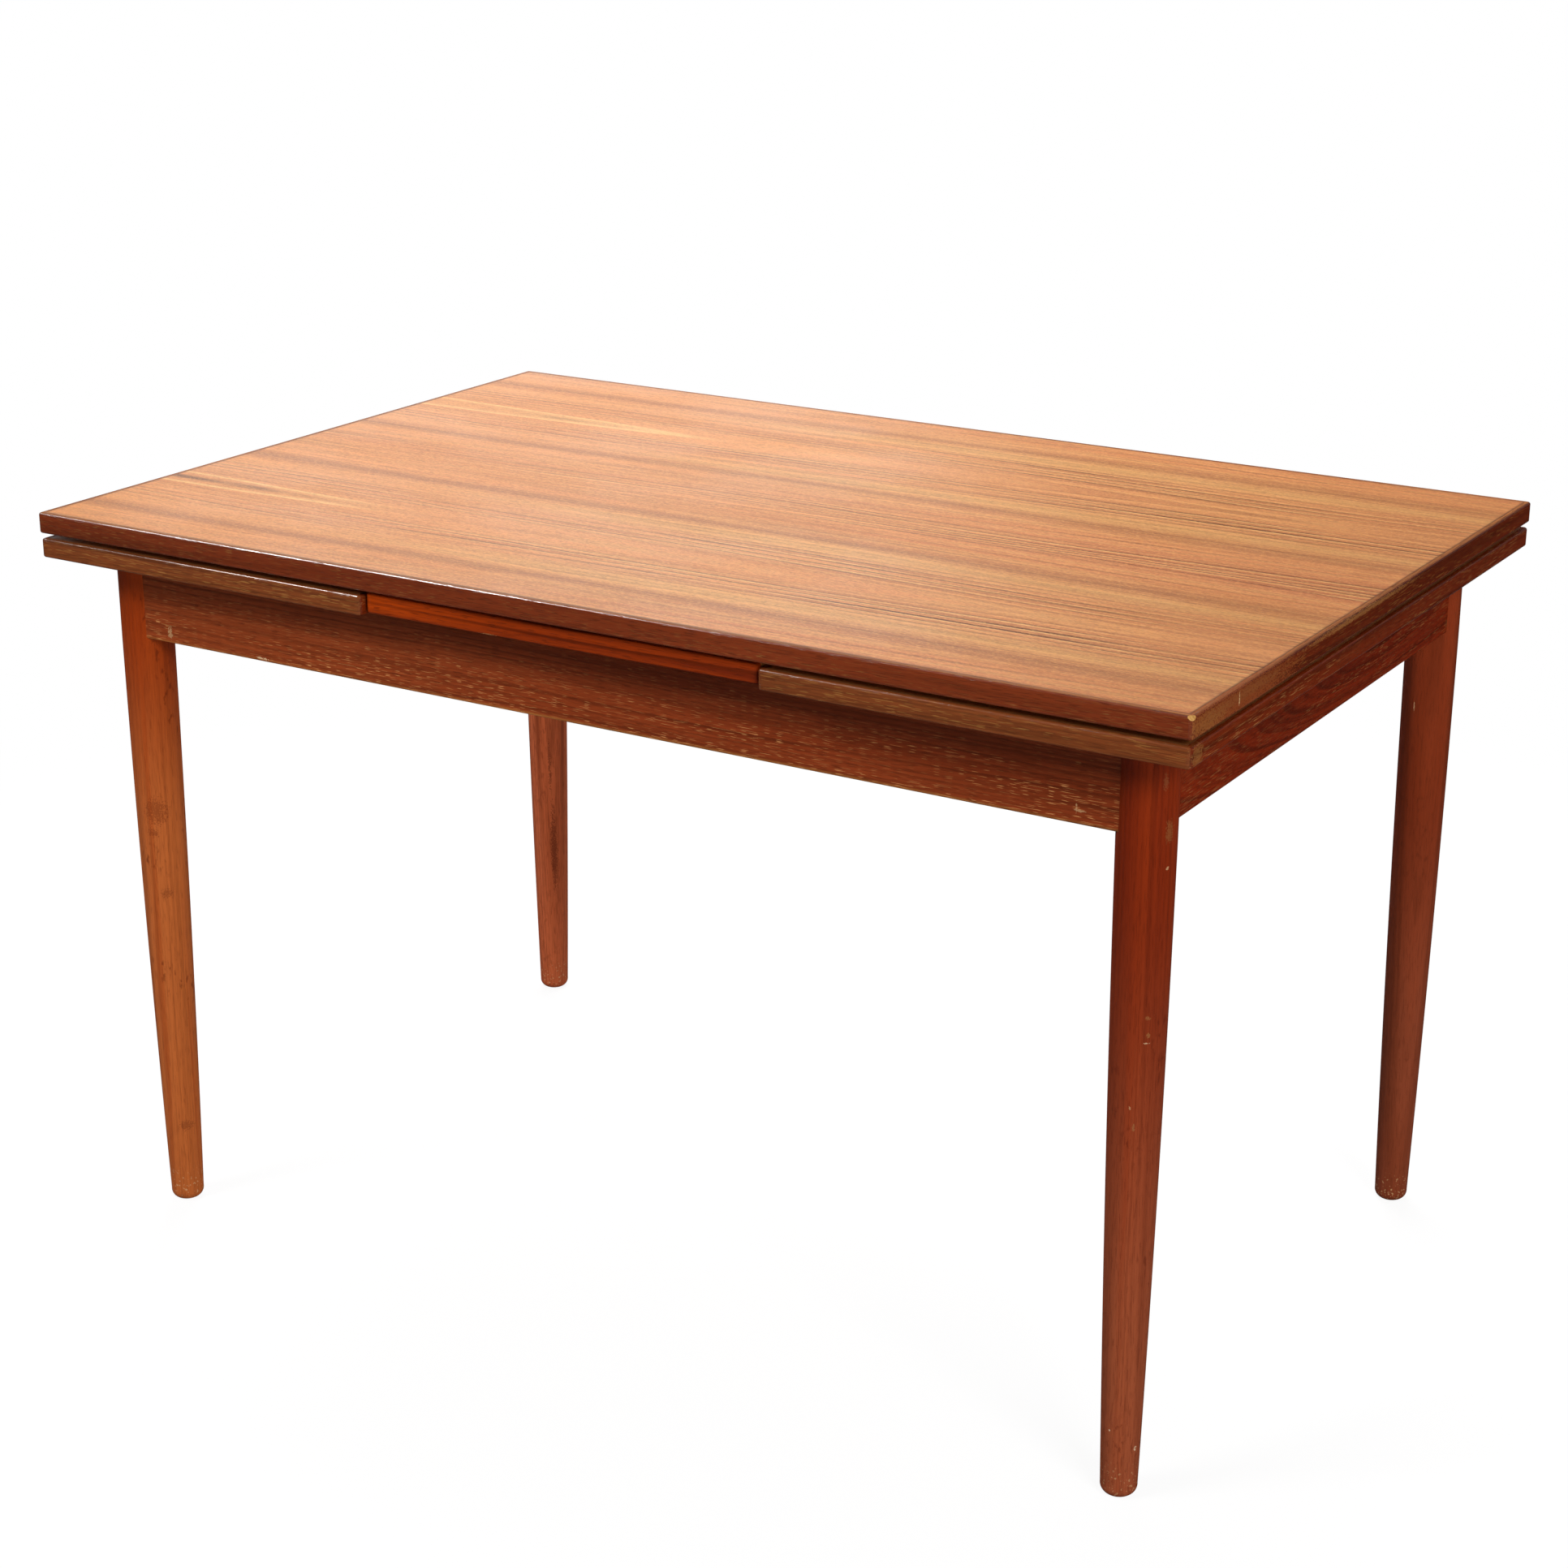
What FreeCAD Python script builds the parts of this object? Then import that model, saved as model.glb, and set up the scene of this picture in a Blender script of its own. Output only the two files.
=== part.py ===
import FreeCAD, Part
import os

# Draw-leaf dining table, in millimetres. X runs along its length, Y from front to back, Z up.
# The origin is on the floor, under the middle of the top.

# Loose top
table_height = 740.0
top_length = 1206.0
top_width = 797.0
top_thickness = 20.0
top_lift = 30.0

# Solid wood edging of every veneered panel
lipping_thickness = 5.0
corner_radius = 4.0
arris_radius = 2.2

# Drawn leaves
leaf_thickness = 18.5
leaf_gap = 5.5
leaf_inset = 1.0
leaf_overtravel = 1.0
rise_clearance = 0.5

# Fixed board between the leaves
board_length = 416.0
board_thickness = 18.5
board_gap = 3.0
board_setback = 6.0
leaf_board_gap = 2.0

# Turned legs
leg_inset_x = 66.0
leg_inset_y = 70.0
leg_top_radius = 25.2
leg_mid_radius = 22.3
leg_foot_radius = 16.4
foot_round_height = 10.0
foot_flat_radius = 8.5
leg_straight_below_apron = 6.0

# Aprons
frame_clearance = 4.0
apron_height = 77.5
end_rail_height = 70.5
apron_thickness = 20.0
apron_setback = 5.8
apron_edge_radius = 1.5
tenon_thickness = 8.0
tenon_shoulder = 10.0
tenon_offset = 4.0
tenon_end_gap = 1.0

# Cross rail that holds the runner tails down
cross_rail_thickness = 24.0
cross_rail_lift = 12.0
cross_tenon_length = 8.0
cross_tenon_thickness = 12.0
cross_tenon_shoulder = 14.0

# Bearers that carry the fixed board
bearer_thickness = 24.0
bearer_height = 46.0
bearer_inset = 18.0

# Sloping runners, two under each leaf
runner_width = 28.0
runner_depth = 36.0
runner_pair_gap = 12.0
runner_bearer_gap = 9.0
runner_setback = 25.0
nose_length = 34.0
nose_height = 20.0
running_gap = 0.25
side_gap = 0.5
tail_margin = 18.5
stop_dowel_radius = 5.0
stop_dowel_drop = 13.0
stop_dowel_grip = 24.0
stop_gap = 0.5

# Guide pegs and felt pads
peg_radius = 10.0
peg_gap = 0.5
peg_hold = 12.0
peg_socket = 11.0
peg_end_inset = 58.0
peg_tip_radius = 3.0
felt_radius = 16.0
felt_gap = 0.2
felt_end_inset = 44.0
felt_side_inset = 70.0

# Corner blocks
block_length = 75.0
block_height = 32.0
block_leg_gap = 1.0
block_runner_gap = 5.0
block_screw_place = 51.0
block_screw_depth = 15.0

# Countersunk wood screws
screw_head_radius = 4.2
screw_head_depth = 2.8
screw_shank_radius = 2.2
screw_tip_length = 6.0
screw_bite = 12.0
screw_bore_gap = 0.6
runner_screw_depth = 20.0
runner_screw_inset = 45.0
board_screw_depth = 22.0
bearer_screw_inset = 32.0
bearer_screw_rise = 15.0

# Levels
top_underside = table_height - top_thickness
leaf_top = top_underside - leaf_gap
leaf_underside = leaf_top - leaf_thickness
board_top = top_underside - board_gap
board_underside = board_top - board_thickness
frame_top = leaf_underside - frame_clearance
apron_bottom = frame_top - apron_height
end_rail_bottom = frame_top - end_rail_height

# Places of the legs and the aprons
leg_x = top_length / 2 - leg_inset_x
leg_y = top_width / 2 - leg_inset_y
apron_face_x = leg_x + leg_top_radius - apron_setback
apron_face_y = leg_y + leg_top_radius - apron_setback
apron_inner_x = apron_face_x - apron_thickness
apron_inner_y = apron_face_y - apron_thickness

# Right leaf: the left one is the same set turned half round
leaf_inner_x = board_length / 2 + leaf_board_gap
leaf_outer_x = top_length / 2 - leaf_inset
leaf_half_width = top_width / 2 - leaf_inset
leaf_travel = top_length / 2 - leaf_inner_x + leaf_overtravel
leaf_slope = (leaf_gap - rise_clearance) / leaf_travel
board_half_width = top_width / 2 - board_setback
peg_x = board_length / 2 - peg_end_inset

# Runner places: each leaf has one outer runner at the back and one inner runner at the front
runner_outer_y = apron_inner_y - bearer_thickness - runner_bearer_gap - runner_width / 2
runner_inner_y = runner_outer_y - runner_width - runner_pair_gap
runner_rows = {"front": -runner_inner_y, "back": runner_outer_y}
runner_head_x = leaf_outer_x - runner_setback
rail_middle_x = apron_face_x - apron_thickness / 2
cross_half = cross_rail_thickness / 2
stop_x = -cross_half - stop_gap - stop_dowel_radius - leaf_travel
tail_x = stop_x - tail_margin

up = FreeCAD.Vector(0, 0, 1)


# Plain solids

def box(x0, x1, y0, y1, z0, z1):
    return Part.makeBox(x1 - x0, y1 - y0, z1 - z0, FreeCAD.Vector(x0, y0, z0))


def side_prism(outline, y0, y1):
    """Prism of an outline of (x, z) corners, from y0 to y1."""
    corners = [FreeCAD.Vector(x, y0, z) for x, z in outline]
    face = Part.Face(Part.makePolygon(corners + corners[:1]))
    return face.extrude(FreeCAD.Vector(0, y1 - y0, 0))


def plan_prism(outline, z0, z1):
    """Prism of an outline of (x, y) corners, from z0 to z1."""
    corners = [FreeCAD.Vector(x, y, z0) for x, y in outline]
    face = Part.Face(Part.makePolygon(corners + corners[:1]))
    return face.extrude(FreeCAD.Vector(0, 0, z1 - z0))


def rounded_slab(x0, x1, y0, y1, z0, z1):
    """Panel with eased corners and a small round along every arris."""
    slab = box(x0, x1, y0, y1, z0, z1)
    uprights = [edge for edge in slab.Edges if edge.BoundBox.ZLength > (z1 - z0) / 2]
    slab = slab.makeFillet(corner_radius, uprights)
    rims = [edge for edge in slab.Edges if edge.BoundBox.ZLength < (z1 - z0) / 2]
    return slab.makeFillet(arris_radius, rims)


def placed(shape, point, direction):
    """Copy of a shape made along +Z, moved to a point and turned to a direction."""
    copy = shape.copy()
    copy.Placement = FreeCAD.Placement(point, FreeCAD.Rotation(up, direction))
    return copy


def half_turn(shape):
    return shape.rotated(FreeCAD.Vector(0, 0, 0), up, 180)


def cut_all(shape, tools):
    for tool in tools:
        shape = shape.cut(tool)
    return shape


# Lipped panels

def lipped_panel(x0, x1, y0, y1, z0, z1):
    """Veneered core with four mitred lippings round it."""
    slab = rounded_slab(x0, x1, y0, y1, z0, z1)
    lip = lipping_thickness
    core = box(x0 + lip, x1 - lip, y0 + lip, y1 - lip, z0, z1)
    frame = slab.cut(core)
    inner = [(x0 + lip, y0 + lip), (x1 - lip, y0 + lip), (x1 - lip, y1 - lip), (x0 + lip, y1 - lip)]
    outer = [(x0 - lip, y0 - lip), (x1 + lip, y0 - lip), (x1 + lip, y1 + lip), (x0 - lip, y1 + lip)]
    pieces = {"panel": core}
    for index, side in enumerate(("front", "right", "back", "left")):
        after = (index + 1) % len(inner)
        mitre = [outer[index], outer[after], inner[after], inner[index]]
        pieces[side] = frame.common(plan_prism(mitre, z0, z1))
    return pieces


# Screws

def screw(length):
    """Countersunk screw along +Z, with the flat of its head at the origin."""
    outline = [(0, 0), (screw_head_radius, 0), (screw_shank_radius, screw_head_depth),
               (screw_shank_radius, length - screw_tip_length), (0, length)]
    corners = [FreeCAD.Vector(radius, 0, height) for radius, height in outline]
    face = Part.Face(Part.makePolygon(corners + corners[:1]))
    return face.revolve(FreeCAD.Vector(0, 0, 0), up, 360)


def access_bore(head, direction, depth):
    """Bore behind a sunk screw head, back to the face that the screw was driven from."""
    return Part.makeCylinder(screw_head_radius + screw_bore_gap, depth, head, direction * -1)


# Legs and aprons

def leg_blank():
    """Leg about the Z axis: straight beside the aprons, then a swelling taper to a rounded foot."""
    straight_from = apron_bottom - leg_straight_below_apron
    flat = FreeCAD.Vector(foot_flat_radius, 0, 0)
    foot = FreeCAD.Vector(leg_foot_radius, 0, foot_round_height)
    middle = FreeCAD.Vector(leg_mid_radius, 0, (foot_round_height + straight_from) / 2)
    shoulder = FreeCAD.Vector(leg_top_radius, 0, straight_from)
    head = FreeCAD.Vector(leg_top_radius, 0, frame_top)
    axis_head = FreeCAD.Vector(0, 0, frame_top)
    axis_foot = FreeCAD.Vector(0, 0, 0)
    diagonal = 0.5 ** 0.5
    bulge = FreeCAD.Vector(foot_flat_radius + (leg_foot_radius - foot_flat_radius) * diagonal, 0,
                           foot_round_height * (1 - diagonal))
    edges = [Part.LineSegment(axis_foot, flat).toShape(),
             Part.Arc(flat, bulge, foot).toShape(),
             Part.Arc(foot, middle, shoulder).toShape(),
             Part.LineSegment(shoulder, head).toShape(),
             Part.LineSegment(head, axis_head).toShape(),
             Part.LineSegment(axis_head, axis_foot).toShape()]
    return Part.Face(Part.Wire(edges)).revolve(axis_foot, up, 360)


def leg_cylinders():
    """The straight heads of the four legs, which the apron shoulders are scribed to."""
    low = apron_bottom - leg_straight_below_apron
    heads = []
    for x in (-leg_x, leg_x):
        for y in (-leg_y, leg_y):
            heads.append(Part.makeCylinder(leg_top_radius, frame_top - low, FreeCAD.Vector(x, y, low)))
    return heads


def apron_blank(x0, x1, y0, y1, bottom):
    """Board on edge, with its two long lower arrises rounded."""
    blank = box(x0, x1, y0, y1, bottom, frame_top)
    long_side = max(x1 - x0, y1 - y0)
    low_edges = [edge for edge in blank.Edges if edge.BoundBox.ZMax < frame_top]
    arrises = [edge for edge in low_edges if edge.Length > long_side / 2]
    return blank.makeFillet(apron_edge_radius, arrises)


def tenons():
    """Tenon solids by leg: one from the long apron and one from the end rail, side by side."""
    long_low = apron_bottom + tenon_shoulder
    end_low = end_rail_bottom + tenon_shoulder
    high = frame_top - tenon_shoulder
    reach = leg_top_radius + apron_thickness
    half = tenon_thickness / 2
    long_tenons = {}
    end_tenons = {}
    for x_side, x_name in ((-1, "left"), (1, "right")):
        for y_side, y_name in ((-1, "front"), (1, "back")):
            xs = sorted((x_side * (leg_x - reach), x_side * (leg_x - tenon_end_gap)))
            ys = sorted((y_side * (leg_y - reach), y_side * (leg_y - tenon_end_gap)))
            y_mid = y_side * (leg_y + tenon_offset + tenon_end_gap)
            x_mid = x_side * (leg_x + tenon_offset + tenon_end_gap)
            corner = (y_name, x_name)
            long_tenons[corner] = box(xs[0], xs[1], y_mid - half, y_mid + half, long_low, high)
            end_tenons[corner] = box(x_mid - half, x_mid + half, ys[0], ys[1], end_low, high)
    return long_tenons, end_tenons


def frame_timbers():
    """Four legs, two long aprons and two end rails."""
    heads = leg_cylinders()
    long_tenons, end_tenons = tenons()
    pieces = {}
    blank = leg_blank()
    for y_name, y_side in (("front", -1), ("back", 1)):
        for x_name, x_side in (("left", -1), ("right", 1)):
            leg = blank.translated(FreeCAD.Vector(x_side * leg_x, y_side * leg_y, 0))
            mortises = [long_tenons[(y_name, x_name)], end_tenons[(y_name, x_name)]]
            pieces["leg_%s_%s" % (y_name, x_name)] = cut_all(leg, mortises)
        ys = sorted((y_side * apron_face_y, y_side * apron_inner_y))
        apron = cut_all(apron_blank(-leg_x, leg_x, ys[0], ys[1], apron_bottom), heads)
        ends = [long_tenons[(y_name, "left")], long_tenons[(y_name, "right")]]
        pieces["%s_apron" % y_name] = apron.multiFuse(ends).removeSplitter()
    for x_name, x_side in (("left", -1), ("right", 1)):
        xs = sorted((x_side * apron_face_x, x_side * apron_inner_x))
        rail = cut_all(apron_blank(xs[0], xs[1], -leg_y, leg_y, end_rail_bottom), heads)
        ends = [end_tenons[("front", x_name)], end_tenons[("back", x_name)]]
        pieces["%s_end_rail" % x_name] = rail.multiFuse(ends).removeSplitter()
    return pieces


# Runners: every sliding face is parallel to the sloping path of the leaf

def runner_low(x):
    return leaf_underside - runner_depth + leaf_slope * (x - rail_middle_x)


def runner_high(x):
    return leaf_underside + leaf_slope * (x - leaf_inner_x)


def runner_solid(y):
    """Runner of the right leaf: level under the leaf, sloping below it and along the tail."""
    nose_x = runner_head_x - nose_length
    outline = [(tail_x, runner_low(tail_x)),
               (nose_x, runner_low(nose_x)),
               (runner_head_x, runner_low(nose_x) + nose_height),
               (runner_head_x, leaf_underside),
               (leaf_inner_x, leaf_underside),
               (tail_x, runner_high(tail_x))]
    return side_prism(outline, y - runner_width / 2, y + runner_width / 2)


def rail_notch(y):
    """Notch in the right end rail, open upwards, with a floor that follows the runner."""
    x0 = apron_inner_x - apron_thickness
    x1 = apron_face_x + apron_thickness
    half = runner_width / 2 + side_gap
    outline = [(x0, runner_low(x0) - running_gap), (x1, runner_low(x1) - running_gap),
               (x1, leaf_underside), (x0, leaf_underside)]
    return side_prism(outline, y - half, y + half)


def cross_slot(y):
    """Closed slot through the cross rail for one runner of the right leaf."""
    half = runner_width / 2 + side_gap
    reach = cross_rail_thickness
    outline = [(-reach, runner_low(-reach) - running_gap), (reach, runner_low(reach) - running_gap),
               (reach, runner_high(reach) + running_gap), (-reach, runner_high(-reach) + running_gap)]
    return side_prism(outline, y - half, y + half)


def right_leaf():
    """Panel, lippings, runners, stop dowels and screws of the right leaf."""
    pieces = lipped_panel(leaf_inner_x, leaf_outer_x, -leaf_half_width, leaf_half_width,
                          leaf_underside, leaf_top)
    screws = []
    dowels = []
    first = leaf_inner_x + runner_screw_inset
    last = runner_head_x - runner_screw_inset
    for row, y in runner_rows.items():
        runner = runner_solid(y)
        for x in (first, (first + last) / 2, last):
            head = FreeCAD.Vector(x, y, leaf_underside - runner_screw_depth)
            fixing = placed(screw(runner_screw_depth + screw_bite), head, up)
            runner = cut_all(runner, (fixing, access_bore(head, up, runner_depth)))
            pieces["panel"] = pieces["panel"].cut(fixing)
            screws.append(fixing)
        foot = FreeCAD.Vector(stop_x, y, runner_low(stop_x) - stop_dowel_drop)
        dowel = Part.makeCylinder(stop_dowel_radius, stop_dowel_drop + stop_dowel_grip, foot)
        pieces["runner_" + row] = runner.cut(dowel)
        dowels.append(dowel)
    pieces["stop_dowels"] = Part.makeCompound(dowels)
    pieces["runner_screws"] = Part.makeCompound(screws)
    return pieces


# Inside the frame

def cross_rail_box():
    return box(-cross_half, cross_half, -apron_inner_y, apron_inner_y,
               apron_bottom + cross_rail_lift, board_underside)


def cross_tenons():
    low = apron_bottom + cross_rail_lift + cross_tenon_shoulder
    high = frame_top - cross_tenon_shoulder
    half = cross_tenon_thickness / 2
    root = apron_inner_y - cross_rail_thickness
    tip = apron_inner_y + cross_tenon_length
    return {"front": box(-half, half, -tip, -root, low, high), "back": box(-half, half, root, tip, low, high)}


def bearer_box(x_side, y_side):
    xs = sorted((x_side * cross_half, x_side * (board_length / 2 - bearer_inset)))
    ys = sorted((y_side * apron_inner_y, y_side * (apron_inner_y - bearer_thickness)))
    return box(xs[0], xs[1], ys[0], ys[1], board_underside - bearer_height, board_underside)


def corner_block(x_side, y_side):
    """Three-cornered block in the angle of two aprons, hollowed round the leg."""
    x = x_side * apron_inner_x
    y = y_side * apron_inner_y
    top = runner_low(apron_inner_x - block_length) - block_runner_gap
    outline = [(x, y), (x - x_side * block_length, y), (x, y - y_side * block_length)]
    block = plan_prism(outline, top - block_height, top)
    hollow = Part.makeCylinder(leg_top_radius + block_leg_gap, block_height,
                               FreeCAD.Vector(x_side * leg_x, y_side * leg_y, top - block_height))
    return block.cut(hollow), top - block_height / 2


def fixed_board():
    """Fixed board with lipped long edges, and the holes for the guide pegs."""
    slab = rounded_slab(-board_length / 2, board_length / 2, -board_half_width, board_half_width,
                        board_underside, board_top)
    edge = board_half_width - lipping_thickness
    middle = box(-board_length, board_length, -edge, edge, board_underside, board_top)
    front = box(-board_length, board_length, -top_width, -edge, board_underside, board_top)
    back = box(-board_length, board_length, edge, top_width, board_underside, board_top)
    holes = []
    for x in (-peg_x, peg_x):
        place = FreeCAD.Vector(x, 0, board_underside)
        holes.append(Part.makeCylinder(peg_radius + peg_gap, board_thickness, place))
    return cut_all(slab.common(middle), holes), slab.common(front), slab.common(back)


def guide_peg(x):
    """Peg glued into the top, long enough to stay in its hole when the top is lifted."""
    foot = top_underside - board_gap - top_lift - peg_hold
    height = top_underside + peg_socket - foot
    peg = Part.makeCylinder(peg_radius, height, FreeCAD.Vector(x, 0, foot))
    tip = [edge for edge in peg.Edges if edge.BoundBox.ZMax < foot + peg_tip_radius]
    return peg.makeFillet(peg_tip_radius, tip)


def felt_pads():
    x = board_length / 2 - felt_end_inset
    y = board_half_width - felt_side_inset
    pads = []
    for pad_x in (-x, x):
        for pad_y in (-y, y):
            place = FreeCAD.Vector(pad_x, pad_y, board_top)
            pads.append(Part.makeCylinder(felt_radius, board_gap - felt_gap, place))
    return Part.makeCompound(pads)


def build():
    nodes = frame_timbers()

    # Loose top with its pegs
    half_length = top_length / 2
    half_width = top_width / 2
    top = lipped_panel(-half_length, half_length, -half_width, half_width, top_underside, table_height)
    pegs = {"left": guide_peg(-peg_x), "right": guide_peg(peg_x)}
    nodes["top_panel"] = cut_all(top["panel"], pegs.values())
    for side in ("front", "back", "left", "right"):
        nodes["top_lipping_" + side] = top[side]
    for side, peg in pegs.items():
        nodes["guide_peg_" + side] = peg

    # Leaves
    other = {"front": "back", "back": "front", "left": "right", "right": "left"}
    leaf = right_leaf()
    for key, shape in leaf.items():
        turned = half_turn(shape)
        if key in other:
            nodes["right_leaf_lipping_" + key] = shape
            nodes["left_leaf_lipping_" + other[key]] = turned
        elif key.startswith("runner_") and key != "runner_screws":
            row = key[len("runner_"):]
            nodes["right_runner_" + row] = shape
            nodes["left_runner_" + other[row]] = turned
        else:
            nodes["right_leaf_" + key] = shape
            nodes["left_leaf_" + key] = turned

    # Notches and slots that the runners slide in
    notches = [rail_notch(y) for y in runner_rows.values()]
    slots = [cross_slot(y) for y in runner_rows.values()]
    nodes["right_end_rail"] = cut_all(nodes["right_end_rail"], notches)
    nodes["left_end_rail"] = cut_all(nodes["left_end_rail"], [half_turn(notch) for notch in notches])
    stubs = cross_tenons()
    rail = cross_rail_box().multiFuse(list(stubs.values())).removeSplitter()
    nodes["cross_rail"] = cut_all(rail, slots + [half_turn(slot) for slot in slots])
    for side in ("front", "back"):
        nodes[side + "_apron"] = nodes[side + "_apron"].cut(stubs[side])

    # Fixed board, its bearers and the screws that hold them
    board, board_front, board_back = fixed_board()
    bearer_screws = []
    board_screws = []
    for y_side, y_name in ((-1, "front"), (1, "back")):
        for x_side, x_name in ((-1, "left"), (1, "right")):
            bearer = bearer_box(x_side, y_side)
            inner_end = cross_half + bearer_screw_inset
            outer_end = board_length / 2 - bearer_inset - bearer_screw_inset
            outward = FreeCAD.Vector(0, y_side, 0)
            for x in (inner_end, outer_end):
                head = FreeCAD.Vector(x_side * x, y_side * (apron_inner_y - bearer_thickness),
                                      board_underside - bearer_height + bearer_screw_rise)
                fixing = placed(screw(bearer_thickness + screw_bite), head, outward)
                bearer = bearer.cut(fixing)
                nodes[y_name + "_apron"] = nodes[y_name + "_apron"].cut(fixing)
                bearer_screws.append(fixing)
            head = FreeCAD.Vector(x_side * (inner_end + outer_end) / 2,
                                  y_side * (apron_inner_y - bearer_thickness / 2),
                                  board_underside - board_screw_depth)
            fixing = placed(screw(board_screw_depth + screw_bite), head, up)
            board = board.cut(fixing)
            bearer = cut_all(bearer, (fixing, access_bore(head, up, bearer_height)))
            nodes["bearer_%s_%s" % (y_name, x_name)] = bearer
            board_screws.append(fixing)
    nodes["fixed_board"] = board
    nodes["fixed_board_lipping_front"] = board_front
    nodes["fixed_board_lipping_back"] = board_back
    nodes["bearer_screws"] = Part.makeCompound(bearer_screws)
    nodes["fixed_board_screws"] = Part.makeCompound(board_screws)
    nodes["felt_pads"] = felt_pads()

    # Corner blocks, each screwed to the two aprons it stiffens
    block_screws = []
    for y_side, y_name in ((-1, "front"), (1, "back")):
        for x_side, x_name in ((-1, "left"), (1, "right")):
            block, level = corner_block(x_side, y_side)
            along = block_screw_place
            deep = block_screw_depth
            to_apron = FreeCAD.Vector(x_side * (apron_inner_x - along),
                                      y_side * (apron_inner_y - deep), level)
            to_rail = FreeCAD.Vector(x_side * (apron_inner_x - deep),
                                     y_side * (apron_inner_y - along), level)
            for head, outward, timber in ((to_apron, FreeCAD.Vector(0, y_side, 0), y_name + "_apron"),
                                          (to_rail, FreeCAD.Vector(x_side, 0, 0), x_name + "_end_rail")):
                fixing = placed(screw(deep + screw_bite), head, outward)
                block = cut_all(block, (fixing, access_bore(head, outward, block_length)))
                nodes[timber] = nodes[timber].cut(fixing)
                block_screws.append(fixing)
            nodes["corner_block_%s_%s" % (y_name, x_name)] = block
    nodes["corner_block_screws"] = Part.makeCompound(block_screws)
    return nodes


os.makedirs("parts", exist_ok=True)
for name, shape in build().items():
    shape.exportStep("parts/%s.step" % name)
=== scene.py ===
# %% [markdown]
# # A draw-leaf table in teak
#
# This lesson dresses a table whose two leaves hide under a loose top. The exact timbers come first, from
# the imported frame. The slabs and the legs are then worked again with finer rounds, the other timbers are
# copied, and all of them get a grown figure, so that a close look finds wood and not a plain block.

# %% Load the frame
import bmesh
import bpy
import math
from mathutils import Euler, Matrix, Vector


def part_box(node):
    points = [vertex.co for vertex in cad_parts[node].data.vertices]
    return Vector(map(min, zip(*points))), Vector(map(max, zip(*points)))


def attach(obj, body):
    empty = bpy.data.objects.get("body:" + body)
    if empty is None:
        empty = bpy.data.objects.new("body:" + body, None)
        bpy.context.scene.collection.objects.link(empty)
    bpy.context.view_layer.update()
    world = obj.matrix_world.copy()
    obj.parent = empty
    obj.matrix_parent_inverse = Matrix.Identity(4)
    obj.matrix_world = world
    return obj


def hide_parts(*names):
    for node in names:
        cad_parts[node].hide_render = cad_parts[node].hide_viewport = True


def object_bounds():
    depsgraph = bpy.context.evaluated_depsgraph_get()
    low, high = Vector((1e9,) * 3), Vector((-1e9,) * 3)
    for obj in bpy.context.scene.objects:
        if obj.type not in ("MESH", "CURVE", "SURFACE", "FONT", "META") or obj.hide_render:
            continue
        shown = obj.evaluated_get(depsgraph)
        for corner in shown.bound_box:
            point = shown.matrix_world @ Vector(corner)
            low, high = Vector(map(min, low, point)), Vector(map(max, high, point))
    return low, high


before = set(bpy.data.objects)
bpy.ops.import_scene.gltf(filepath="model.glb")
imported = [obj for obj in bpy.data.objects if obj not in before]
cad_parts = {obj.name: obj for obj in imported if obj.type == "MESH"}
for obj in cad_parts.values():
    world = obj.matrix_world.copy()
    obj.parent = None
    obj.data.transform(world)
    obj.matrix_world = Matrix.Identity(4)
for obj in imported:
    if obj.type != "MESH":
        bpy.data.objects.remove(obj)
cad_low, cad_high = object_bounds()
print("frame:", len(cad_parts), "nodes, from", tuple(cad_low), "to", tuple(cad_high))

# %% [markdown]
# ## Where the camera stands
#
# The camera could be set by eye. Here it was found by laying the table's own edges over the picture. It
# stands to the right of the front, a little above head height for someone seated, and looks down by about
# nineteen degrees.

# %% Camera
camera_place = Vector((1.4782, -2.4237, 1.4508))
camera_turn = 31.498
camera_dip = 19.305
camera_roll = 0.056
focal_length = 69.221

scene = bpy.context.scene
lens = bpy.data.cameras.new("camera")
lens.lens = focal_length
camera = bpy.data.objects.new("camera", lens)
aim = Euler((math.radians(90 - camera_dip), 0, math.radians(camera_turn))).to_matrix().to_4x4()
roll = Matrix.Rotation(math.radians(camera_roll), 4, "Z")
camera.matrix_world = Matrix.Translation(camera_place) @ aim @ roll
scene.collection.objects.link(camera)
scene.camera = camera
scene.view_settings.view_transform = "Standard"
print("camera at", tuple(camera_place), "with a lens of", focal_length, "mm")

# %% [markdown]
# ## Small tools for wiring a finish
#
# A picture of wood could be wrapped round each piece, but it would break at every edge. Here a finish
# reads a point's own place in the table instead, so the figure runs through a piece as it does through
# timber. These tools keep the wiring short: `calc` for sums, `rise` for a soft step, `grain` for noise
# that is drawn out more one way than another, `lay` for one tone over another.


# %% Finish tools
def paint(code):
    """Colour from a hex code as a picture shows it, in the linear values that a shader takes."""
    shown = [int(code[i:i + 2], 16) / 255 for i in (0, 2, 4)]
    linear = [c / 12.92 if c <= 0.04045 else ((c + 0.055) / 1.055) ** 2.4 for c in shown]
    return (*linear, 1.0)


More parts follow.
